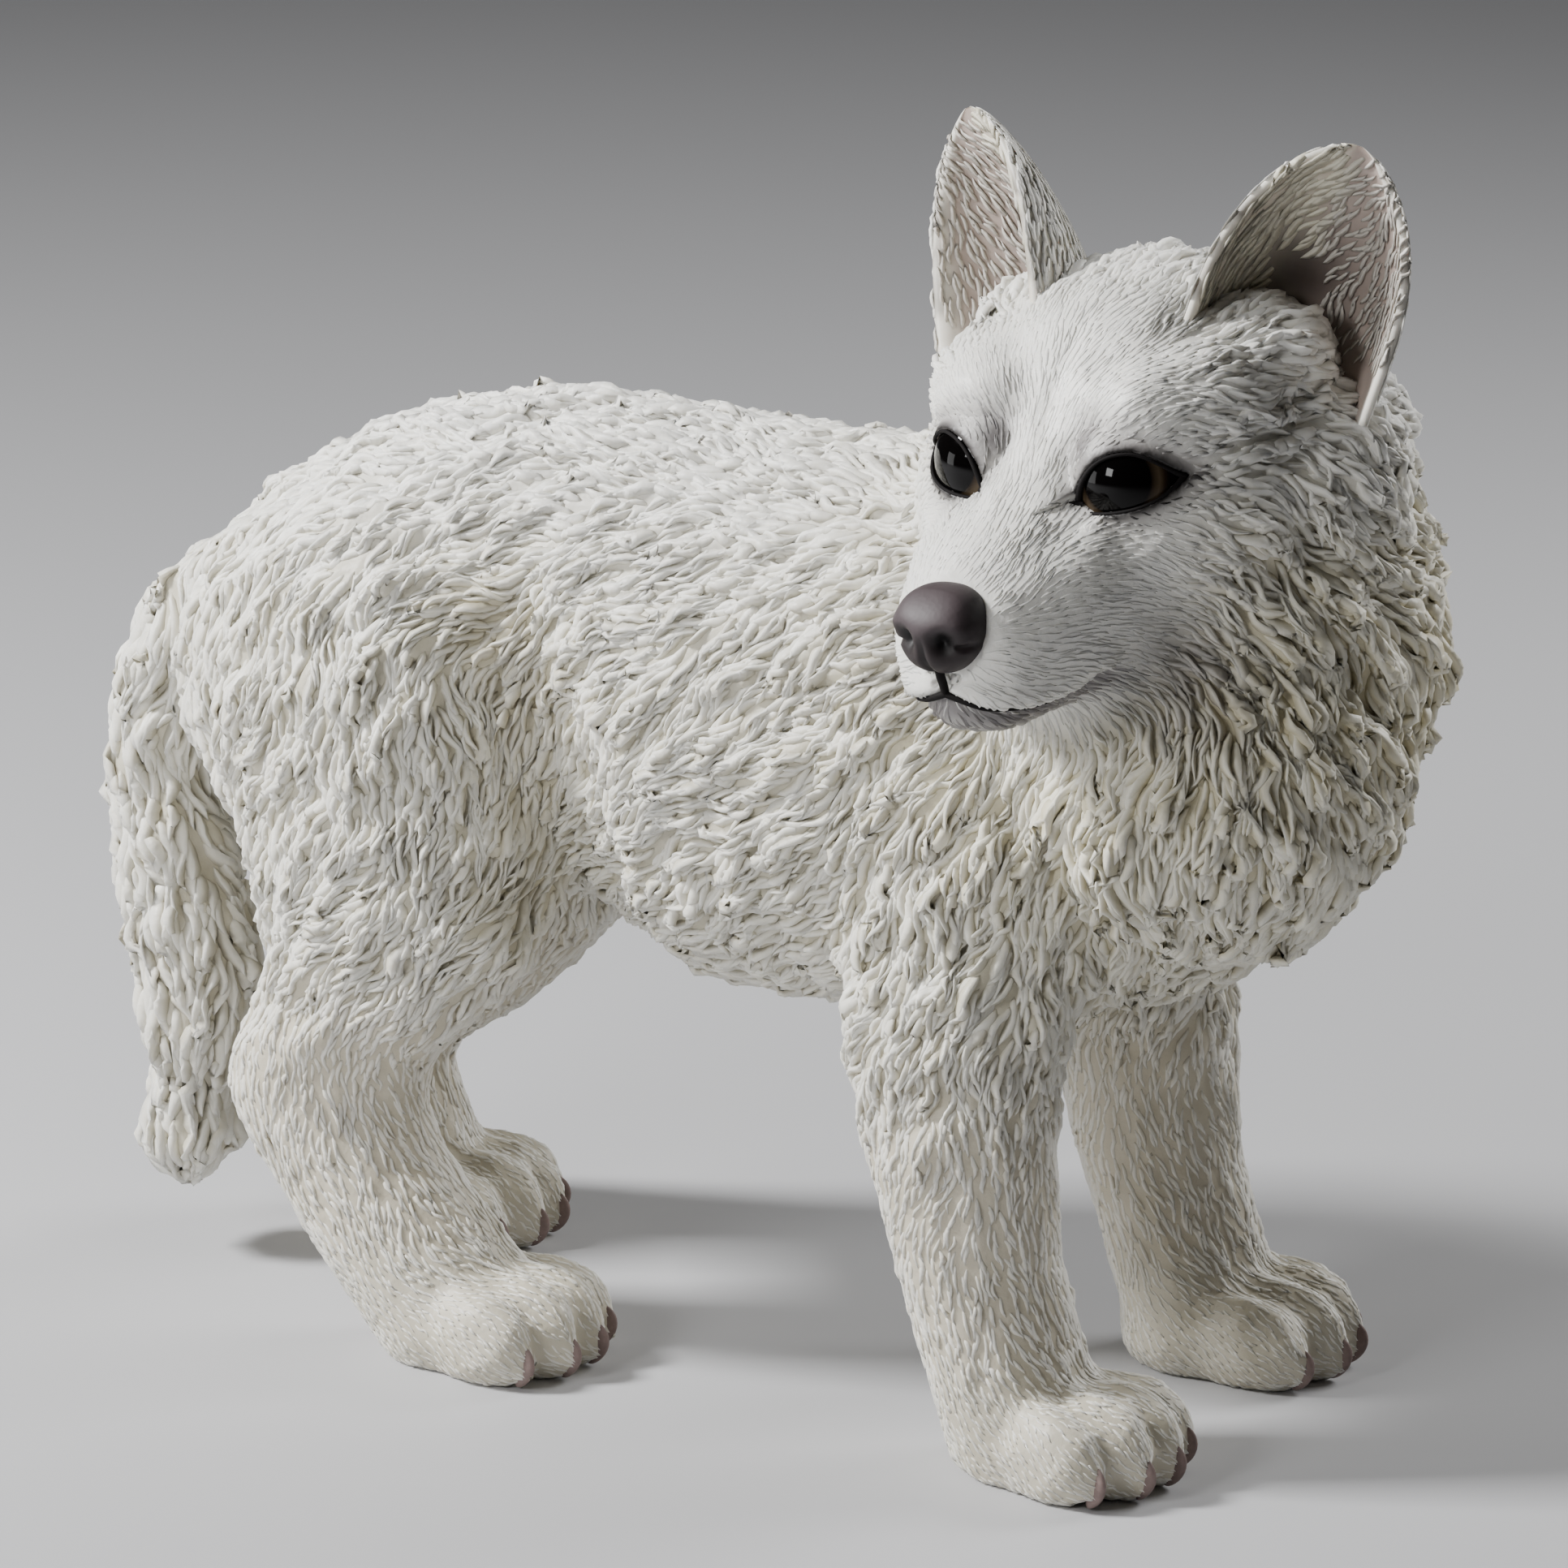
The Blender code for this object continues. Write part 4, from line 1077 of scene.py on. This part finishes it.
def make_ear(side, name):
    """Lay rings from root to tip, each out along the back and home along the inside."""
    axis = EAR_TIP_MM - EAR_BASE_MM
    across = EAR_OUTER_CORNER_MM - EAR_INNER_CORNER_MM
    across -= axis * (across @ axis) / (axis @ axis)
    across /= np.linalg.norm(across)
    opening = np.cross(across, axis / np.linalg.norm(axis))
    rows = []
    facts = []
    for share in EAR_TOP_SHARE - EAR_ROOT_SHARE * np.linspace(1, 0, EAR_RINGS) ** 1.5:
        height = max(share, 0.0) / 1.05
        half_width = EAR_HALF_WIDTH_MM * (1 - height ** 2.4) ** 0.66
        depth = EAR_DEPTH_MM * (1 - height ** 1.2) ** 0.85
        middle = EAR_BASE_MM + axis * share
        turn = np.linspace(0, math.pi, EAR_ARC)
        for inner in (0, 1):
            flow = turn if not inner else turn[::-1]
            thick = (0.9 + 0.6 * np.sin(flow) ** 0.5) * inner
            wall = np.minimum(thick, 0.5 * min(half_width, depth))
            sideways = np.outer(np.cos(flow) * (half_width - wall), across)
            back = np.outer(np.sin(flow) * (depth - wall), opening)
            rows.append(middle + sideways - back)
            rim = 1 - np.sin(flow)
            facts.append(np.stack((np.full(EAR_ARC, inner), rim, np.full(EAR_ARC, share), flow), 1))
    points = np.concatenate(rows) * (1, side, 1)
    facts = np.concatenate(facts)
    loop = 2 * EAR_ARC
    faces = []
    for ring in range(EAR_RINGS - 1):
        for step in range(loop):
            a = ring * loop + step
            b = ring * loop + (step + 1) % loop
            face = (a, b, b + loop, a + loop)
            faces.append(face if side < 0 else face[::-1])
    faces.append(tuple(range(loop))[::-side])
    faces.append(tuple(range((EAR_RINGS - 1) * loop, EAR_RINGS * loop))[::side])
    mesh = bpy.data.meshes.new("ear_cup_" + name)
    mesh.from_pydata(from_head(points).tolist(), [], faces)
    ear = add_object("ear_cup_" + name, mesh)
    inner, rim, share, flow = facts.T
    speckle = 0.5 + 0.5 * np.sin(share * 71 + np.sin(share * 23) * 3)
    set_attribute(ear, "inside", inner)
    set_attribute(ear, "across", flow)
    set_attribute(ear, "up", share)
    set_attribute(ear, "cup", inner * smooth_step(1 - rim, 0.02, 0.3))
    # Painted shade in the cup's hollow, low down and deepest in.
    hollow = bell(share - 0.3, 0.3) * bell(flow - 1.75, 0.7)
    set_attribute(ear, "hollow", inner * hollow)
    set_attribute(ear, "fleece", inner * smooth_step(flow, 1.5, 2.1))
    line = smooth_step(rim, 0.80, 0.95) * (0.2 + 0.8 * speckle)
    set_attribute(ear, "rim", line * (1 - smooth_step(share, 0.35, 0.95)) * (share > 0.02))
    return ear


ear_wash = ear_paint()
ears = {}
for side, name in SIDES:
    ears[side] = make_ear(side, name)
    finish_piece(ears[side], ear_wash, ["ear_" + name])


# ---------------------------------------------------------------- claws
# Blunt claws stand at the front of the toes, joined to the paw and painted mauve-brown.

PAWS = {
    # the middle of the paw, forward and left, and its heading in degrees
    "fore_right": (45.5, -21.0, -10.0),
    "fore_left": (47.0, 21.0, 6.0),
    "hind_right": (-28.5, -17.0, -4.0),
    "hind_left": (-54.5, 19.5, 4.0),
}
TOES = (-1.5, -0.5, 0.5, 1.5)
TOE_SPREAD_MM = 5.1
CLAW_SPREAD = 1.09
CLAW_TURN_DEGREES = 7.0     # from one toe to the next
CLAW_HEIGHT_MM = 2.7
CLAW_RADII_MM = (1.3, 0.62, 2.5)
MIDDLE_REACH_MM = 13.05
OUTER_REACH_MM = 10.5


def make_claw(forward, left, heading, toe):
    reach = MIDDLE_REACH_MM if abs(toe) < 1 else OUTER_REACH_MM
    turn = math.radians(heading)
    sideways = toe * TOE_SPREAD_MM * CLAW_SPREAD
    place = np.array((
        forward + reach * math.cos(turn) - sideways * math.sin(turn),
        left + reach * math.sin(turn) + sideways * math.cos(turn),
        CLAW_HEIGHT_MM,
    ))
    claw = add_ball(20, 14, MM)
    spots = vertex_array(claw) / MM
    spots *= CLAW_RADII_MM
    spots[:, 0] -= 0.10 * (spots[:, 2] - 1.0) ** 2
    angle = turn + math.radians(toe * CLAW_TURN_DEGREES)
    ahead = np.array((math.cos(angle), math.sin(angle), 0.0))
    aside = np.array((-ahead[1], ahead[0], 0.0))
    upright = np.array((0.0, 0.0, 1.0))
    spots = place + np.outer(spots[:, 0], ahead) + np.outer(spots[:, 1], aside) + np.outer(
        spots[:, 2], upright)
    set_vertices(claw, from_stance(spots))
    return claw


claw_paint = painted("claw_acrylic", "#907d78", 0.5)
for name, (forward, left, heading) in PAWS.items():
    claws = join([make_claw(forward, left, heading, toe) for toe in TOES])
    claws.name = "claws_" + name
    finish_piece(claws, claw_paint)


# ---------------------------------------------------------------- carved locks
# A lock is a thin ridge that rises out of the skin, bends as it runs with the coat and ends
# in a point. Locks lie over each other; in the ruff their points stand off the skin.

PATCH = 0.003               # size of a lock's patch on the unwrapped skin


def unwrap(skin):
    pick_only(skin)
    bpy.ops.object.mode_set(mode="EDIT")
    bpy.ops.mesh.select_all(action="SELECT")
    bpy.ops.uv.smart_project(angle_limit=math.radians(66), island_margin=0.002)
    bpy.ops.object.mode_set(mode="OBJECT")
    skin.data.uv_layers.active.name = "OFBake"


def scatter_roots(skin, spacing_mm, keep, seed):
    """Roots spread evenly over the skin, at least the local spacing apart."""
    dice = np.random.default_rng(seed)
    points = vertex_array(skin)
    corners, loops = triangles_of(skin)
    a, b, c = (points[corners[:, i]] for i in range(3))
    middle = (a + b + c) / 3
    area = np.linalg.norm(np.cross(b - a, c - a), axis=1) / 2 / MM ** 2
    gap = spacing_mm(middle)
    expected = area / gap ** 2 * 4.0 * keep(middle)
    picks = np.repeat(np.arange(len(area)), dice.poisson(expected))
    dice.shuffle(picks)
    share = dice.dirichlet((1, 1, 1), len(picks))
    roots = share[:, :1] * a[picks] + share[:, 1:2] * b[picks] + share[:, 2:] * c[picks]
    uvs = np.empty(len(skin.data.loops) * 2)
    skin.data.uv_layers["OFBake"].data.foreach_get("uv", uvs)
    uvs = uvs.reshape(-1, 2)[loops[picks]]
    root_uvs = (share[:, :, None] * uvs).sum(1)
    chosen, _ = spread_out(roots, range(len(roots)), gap[picks] * MM)
    return roots[chosen], root_uvs[chosen]


def trace_locks(surface, roots, flow, length_mm, steps):
    """Follow the coat over the surface from each root."""
    place, normal = snap_to(surface, roots)
    places, normals, ways = [place], [normal], []
    for _ in range(steps - 1):
        way = flow(place, normal)
        ways.append(way)
        place, normal = snap_to(surface, place + way * (length_mm * MM / (steps - 1))[:, None])
        places.append(place)
        normals.append(normal)
    ways.append(ways[-1])
    return np.stack(places, 1), np.stack(normals, 1), np.stack(ways, 1)


STROKE = [(-1.0, -0.25), (0.0, 1.0), (1.0, -0.25)]
RIDGE = [(-1.0, -0.25), (-0.42, 0.45), (0.0, 1.0), (0.42, 0.45), (1.0, -0.25)]


def build_locks(name, path, section, width_mm, height_mm, stand_mm, lean, bend_mm, root_uvs, seed):
    """One closed ridge along each path, all in one mesh."""
    places, normals, ways = path
    count, steps, _ = places.shape
    dice = np.random.default_rng(seed)
    share = np.linspace(0, 1, steps)
    aside = np.cross(normals, ways)
    aside /= np.linalg.norm(aside, axis=2, keepdims=True) + 1e-9
    phase = dice.uniform(0, 2 * math.pi, count)
    wiggle = np.sin(2 * math.pi * 0.85 * share[None, :] + phase[:, None]) - np.sin(phase)[:, None]
    centre = places + aside * (wiggle * bend_mm[:, None] * MM)[:, :, None]
    widths = width_mm[:, None] / 2 * np.sin(math.pi * share ** 0.8) ** 0.75
    heights = height_mm[:, None] * np.sin(math.pi * (0.06 + 0.86 * share ** 1.25)) ** 0.9
    lift = stand_mm[:, None] * share ** 2
    inner = slice(1, steps - 1)
    rows = []
    crest = []
    patch = []
    for across, up in section:
        slide = across * widths + lean[:, None] * widths * (up > 0.9)
        rise = lift + np.where(up > 0, up * heights, up * 0.8)
        rows.append(centre + aside * (slide * MM)[:, :, None] + normals * (rise * MM)[:, :, None])
        crest.append(np.broadcast_to(max(up, 0) ** 0.7 * (0.55 + 0.45 * share), (count, steps)))
        sideways = np.full((count, 1), across / 2)
        patch.append(np.stack(np.broadcast_arrays(share[None, :] - 0.5, sideways), 2))
    sides = len(section)
    rings = np.stack(rows, 2)[:, inner].reshape(count, -1, 3)
    root = centre[:, :1] - normals[:, :1] * 0.15 * MM
    tip = centre[:, -1:] + normals[:, -1:] * (lift[:, -1:] + 0.12 * heights[:, -2:-1])[:, :, None] * MM
    points = np.concatenate((rings, root, tip), 1)
    crests = np.concatenate((
        np.stack(crest, 2)[:, inner].reshape(count, -1),
        np.zeros((count, 1)), np.full((count, 1), 0.9)), 1)
    patches = np.concatenate((
        np.stack(patch, 2)[:, inner].reshape(count, -1, 2),
        np.full((count, 1, 2), (-0.5, 0.0)), np.full((count, 1, 2), (0.5, 0.0))), 1)
    size = points.shape[1]
    ring_count = steps - 2
    faces = []
    for ring in range(ring_count - 1):
        for side in range(sides):
            a = ring * sides + side
            b = ring * sides + (side + 1) % sides
            faces += [(a, b, b + sides), (a, b + sides, a + sides)]
    first, last = size - 2, size - 1
    for side in range(sides):
        following = (side + 1) % sides
        end = (ring_count - 1) * sides
        faces += [(following, side, first), (end + side, end + following, last)]
    faces = (np.array(faces)[None] + np.arange(count)[:, None, None] * size).reshape(-1, 3)
    mesh = bpy.data.meshes.new(name)
    mesh.vertices.add(count * size)
    mesh.vertices.foreach_set("co", points.ravel())
    mesh.loops.add(faces.size)
    mesh.loops.foreach_set("vertex_index", faces.ravel())
    mesh.polygons.add(len(faces))
    mesh.polygons.foreach_set("loop_start", np.arange(0, faces.size, 3))
    mesh.update(calc_edges=True)
    layer = mesh.uv_layers.new(name="OFBake")
    uvs = (root_uvs[:, None] + PATCH * patches).reshape(-1, 2)
    layer.data.foreach_set("uv", uvs[faces.ravel()].ravel())
    coat = add_object(name, mesh)
    set_attribute(coat, "crest", crests.ravel())
    roots = np.repeat(places[:, 0], size, axis=0)
    mark(coat, roots)
    finish_piece(coat, resin)
    return coat


unwrap(blank)
# Along this line under the ruff the locks are longer and stand off in a fringe.
THROAT_LINE_MM = np.array((
    (46.0, -27.5, 77.5), (50.0, -28.0, 76.0), (55.0, -28.0, 74.0), (59.0, -27.0, 71.0),
    (63.0, -25.0, 68.5), (66.5, -23.0, 68.0)))
TALL_SHARE = 0.07           # this share of the locks stands up out of the others
LOOK_AHEAD_MM = 3.0
GATHERING = (0.3, 0.4, 0, 0.1, 0)   # towards the tufts' points: body, ruff, head, legs, paws
TRIMMING = (0.3, 1, 0, 0, 0)        # of locks that would pass their tuft's point
tip_finder = finder_of(tuft_tips)


def tip_ahead(points, way):
    """The way from each point to the nearest tuft's point that lies ahead."""
    found = np.array([tip_finder.find(place)[0] for place in points + way * LOOK_AHEAD_MM * MM])
    return found - points


def gathered_flow(points, normals):
    """The lie of the coat, drawn together towards the tufts' points."""
    way = coat_flow(points, normals)
    pull = tip_ahead(points, way)
    pull -= normals * (pull * normals).sum(1, keepdims=True)
    reach = np.linalg.norm(pull, axis=1, keepdims=True) + 1e-9
    pull /= reach
    ahead = np.clip((pull * way).sum(1, keepdims=True), 0, 1)
    way = way + by_zone(points, *GATHERING)[:, None] * ahead * pull
    return way / np.linalg.norm(way, axis=1, keepdims=True)


def bare(points):
    """True on the nose, inside the lids and along the mouth, where no hair is cut."""
    face = to_head(points)
    hidden = np.linalg.norm((face - NOSE_MIDDLE_MM) / NOSE_RADII_MM, axis=1) < 1.05
    hidden |= lip_offset(face)[0] < 0.9
    for side in (-1, 1):
        offset = (face - eye_centre(side)) @ eye_axes(side).T
        rim = gap_to_line(face, lid_ring(side, EYE_RADIUS_MM + 0.3), closed=True)
        inside = offset[:, 1] < lid_height(offset[:, 0], UPPER_LID)
        inside &= offset[:, 1] > lid_height(offset[:, 0], LOWER_LID)
        inside &= (np.abs(offset[:, 0]) < EYE_HALF_LENGTH_MM) & (offset[:, 2] > 0)
        hidden |= (rim < 0.55 + 0.7 * (offset[:, 1] > 1.5)) | inside
    return hidden


def grow_coat(name, keep, section, steps, scale, spacing, length, width, height, stand, bend, seed):
    """Carve one region: sizes are millimetres in the body, ruff, head, legs and paws."""
    dice = np.random.default_rng(seed)
    roots, root_uvs = scatter_roots(blank, lambda p: by_zone(p, *spacing) * scale, keep, seed)
    count = len(roots)
    fringe = bell(gap_to_line(to_stance(roots), THROAT_LINE_MM), 2.6)
    tall = dice.random(count) < TALL_SHARE
    lengths = scale * by_zone(roots, *length) * dice.uniform(0.7, 1.3, count) * (1 + 0.5 * fringe)
    lengths *= 0.5 + 0.5 * smooth_step(lid_gap(to_head(roots)), 0.5, 4.0)
    start, normals = snap_to(skin_surface, roots)
    left = np.linalg.norm(tip_ahead(start, coat_flow(start, normals)), axis=1) / MM
    trimmed = np.clip(left + 2.0, 0.75 * lengths, 1.15 * lengths)
    lengths += by_zone(roots, *TRIMMING) * (trimmed - lengths)
    path = trace_locks(skin_surface, roots, gathered_flow, lengths, steps)
    widths = scale * by_zone(roots, *width) * dice.uniform(0.75, 1.25, count) * (1 + 0.4 * fringe)
    heights = scale * by_zone(roots, *height) * dice.uniform(0.7, 1.2, count)
    stands = by_zone(roots, *stand) * dice.uniform(0.2, 1.3, count) + 2.2 * fringe
    stands += 0.5 * tall * (by_zone(roots, *height) > 0.5)
    lean = 0.45 * slow_waves(to_stance(roots), 9.0, 11) + dice.uniform(-0.2, 0.2, count)
    bends = by_zone(roots, *bend) * dice.uniform(0.4, 1.4, count)
    build_locks(name, path, section, widths, heights, stands, lean, bends, root_uvs, seed)


def ear_hair(side, name):
    """Fine strokes that rise up the ear's back and fan over its cup, but not in the hollow."""
    ear = ears[side]
    unwrap(ear)
    surface = surface_of(ear)
    facts = {}
    for fact in ("inside", "across", "up"):
        facts[fact] = np.empty(len(ear.data.vertices))
        ear.data.attributes[fact].data.foreach_get("value", facts[fact])
    corners, _ = triangles_of(ear)
    finder = finder_of(vertex_array(ear)[corners].mean(1))

    def fact_at(points, fact):
        nearest = [finder.find(point)[1] for point in points]
        return facts[fact][corners[nearest]].mean(1)

    def keep(points):
        inside = fact_at(points, "inside")
        across, up = fact_at(points, "across"), fact_at(points, "up")
        on_cup = (inside > 0.9) & (up > -0.05) & ((across < 1.5) | (up > 0.34) | (across > 2.3))
        on_back = (inside < 0.1) & (up > -0.18)
        return (on_cup | on_back) & (up < 0.93)

    rise = (EAR_TIP_MM - EAR_BASE_MM) * (1, side, 1)
    sweep = (EAR_OUTER_CORNER_MM - EAR_INNER_CORNER_MM) * (1, side, 1)
    rise = rise / np.linalg.norm(rise) @ head_axes
    sweep = sweep / np.linalg.norm(sweep) @ head_axes

    def flow(points, normals):
        way = rise + 0.35 * slow_waves(to_stance(points), 6.0, 8)[:, None] * sweep
        way = way + 0.5 * fact_at(points, "inside")[:, None] * sweep
        way = way - normals * (way * normals).sum(1, keepdims=True)
        return way / np.linalg.norm(way, axis=1, keepdims=True)

    roots, root_uvs = scatter_roots(ear, lambda p: 0.72 + 0.25 * fact_at(p, "inside"), keep, 31)
    dice = np.random.default_rng(32)
    size = dice.uniform(0.7, 1.3, len(roots))
    fleece = fact_at(roots, "inside") * smooth_step(fact_at(roots, "across"), 1.5, 2.0)
    path = trace_locks(surface, roots, flow, (2.6 + 1.6 * fleece) * size, 6)
    hair = build_locks(
        "ear_hair_" + name, path, STROKE, (0.5 + 0.35 * fleece) * size, (0.05 + 0.25 * fleece) * size,
        0.3 * fleece * size, 0 * size, 0.12 * size, root_uvs, 33)
    per_lock = len(hair.data.vertices) // len(roots)
    shade = np.repeat(fact_at(roots, "inside"), per_lock)
    rim = smooth_step(np.cos(fact_at(roots, "across")), -0.90, -0.97) * (fact_at(roots, "up") < 0.55)
    set_attribute(hair, "liner_and_shade", np.repeat(0.7 * rim * dice.random(len(roots)), per_lock))
    fleecy = np.repeat(fleece, per_lock)
    set_attribute(hair, "cream", 0.5 * fleecy)
    # Inside the cup the hair is washed tan, and grey as painted shade; the fleece is cream.
    set_attribute(hair, "tan", 0.9 * (shade - fleecy))
    set_attribute(hair, "grey", 0.12 * fleecy + 0.32 * (shade - fleecy))


def zone_of(points):
    """0 to 3 quarters of the trunk, 4 and 9 ruff, 5 head, 6 and 7 fore and hind legs, 8 tail."""
    body = to_stance(points)
    quarter = 2 * (body[:, 0] < -12) + (body[:, 1] < 0)
    zone = quarter.astype(int)
    zone[ruff_share(points) > 0.35] = 4
    zone[(ruff_share(points) > 0.35) & (body[:, 1] < 0)] = 9
    zone[head_share(points) > 0.4] = 5
    zone[leg_share(points) > 0.5] = 6
    zone[(leg_share(points) > 0.5) & (body[:, 0] < 0)] = 7
    zone[on_tail(body) & (body[:, 2] < 84)] = 8
    return zone


COAT_SIZES = {
    # body, ruff, head, legs, paws
    "spacing": (1.04, 1.04, 0.62, 0.95, 0.75),
    "length": (5.2, 7.8, 2.6, 3.2, 2.0),
    "width": (1.5, 1.6, 0.52, 0.95, 0.6),
    "height": (0.78, 1.1, 0.16, 0.3, 0.18),
    "stand": (0.08, 0.6, 0.03, 0.05, 0.03),
    "bend": (0.4, 0.6, 0.08, 0.2, 0.1),
}
COAT_PIECES = (
    # name, cross-section, steps along a lock and the scale of its sizes, in order of zone_of
    ("coat_shoulder_left", RIDGE, 7, 1.0), ("coat_shoulder_right", RIDGE, 7, 1.0),
    ("coat_haunch_left", RIDGE, 7, 1.0), ("coat_haunch_right", RIDGE, 7, 1.0),
    ("coat_ruff_left", RIDGE, 9, 1.0), ("coat_head", STROKE, 6, 1.0),
    ("coat_forelegs", STROKE, 6, 1.0), ("coat_hindlegs", STROKE, 6, 1.0), ("coat_tail", RIDGE, 9, 1.4),
    ("coat_ruff_right", RIDGE, 9, 1.0),
)
FIRST_COAT_SEED = 20


def covered_by(number):
    """The test for points that one piece of the coat covers."""
    return lambda points: (zone_of(points) == number) & ~bare(points)


for side, name in SIDES:
    ear_hair(side, name)
for number, (name, section, steps, scale) in enumerate(COAT_PIECES):
    grow_coat(
        name, covered_by(number), section, steps, scale, seed=FIRST_COAT_SEED + number,
        **COAT_SIZES)


# ---------------------------------------------------------------- floor, light and camera
# The figurine stands on a plain pale table. The key lamp is small and stands high behind its
# right side, with a faint, wider lamp low beside it. A rim lamp stands ahead of its left side,
# and one lamp is placed where it shows in the left eye.

LENS_MM = 202.3
FRAME_SHIFT = (0.0238, 0.0228)
CAMERA_AZIMUTH = math.radians(28)
CAMERA_ELEVATION = math.radians(16)
CAMERA_DISTANCE = 0.95
LOOKED_AT_MM = (9.2, -26.0, 70.0)
LIT_POINT = Vector((0, 0, 0.07))
CATCH_DISTANCE = 0.6
GLINT_ON_EYE = (-2.0, 3.0, 6.0)     # along the opening, up and outwards


def add_lamp(name, place, power, size):
    data = bpy.data.lights.new(name, "AREA")
    data.energy = power
    data.size = size
    lamp = add_object(name, data)
    lamp.location = place
    lamp.rotation_euler = (LIT_POINT - Vector(place)).to_track_quat("-Z", "Y").to_euler()


bpy.ops.object.select_all(action="DESELECT")
bpy.ops.mesh.primitive_plane_add(size=3.0)
floor = bpy.context.active_object
floor.name = "table"
table_paint, _, table_shader = new_material("pale_table")
table_shader.inputs["Base Color"].default_value = linear("#b9b9bb")
table_shader.inputs["Roughness"].default_value = 0.6
floor.data.materials.append(table_paint)

camera_data = bpy.data.cameras.new("camera")
camera_data.sensor_width = 36
camera_data.lens = LENS_MM
camera_data.clip_start = 0.01
camera_data.shift_x, camera_data.shift_y = FRAME_SHIFT
camera = add_object("camera", camera_data)
back = Vector((
    math.sin(CAMERA_AZIMUTH) * math.cos(CAMERA_ELEVATION),
    -math.cos(CAMERA_AZIMUTH) * math.cos(CAMERA_ELEVATION),
    math.sin(CAMERA_ELEVATION),
))
camera.location = Vector(from_stance(LOOKED_AT_MM).tolist()) + back * CAMERA_DISTANCE
camera.rotation_euler = (-back).to_track_quat("-Z", "Y").to_euler()
bpy.context.scene.camera = camera

add_lamp("key", (-0.46, -0.25, 0.50), 10.0, 0.12)
add_lamp("rim", (0.30, 0.42, 0.35), 2.5, 0.25)
left_eye = Vector(from_head(eye_centre(1)).tolist())
glint = Vector((np.array(GLINT_ON_EYE) @ eye_axes(1) @ head_axes).tolist()).normalized()
to_camera = (camera.location - left_eye).normalized()
mirror_way = 2 * glint.dot(to_camera) * glint - to_camera
add_lamp("catch", left_eye + mirror_way * CATCH_DISTANCE, 1.6, 0.16)
add_lamp("window", (-0.60, -0.36, 0.13), 0.8, 0.25)
world = bpy.data.worlds.new("room")
bpy.context.scene.world = world
world.use_nodes = True
background = world.node_tree.nodes["Background"]
background.inputs["Color"].default_value = (0.5, 0.5, 0.5, 1)
background.inputs["Strength"].default_value = 0.04
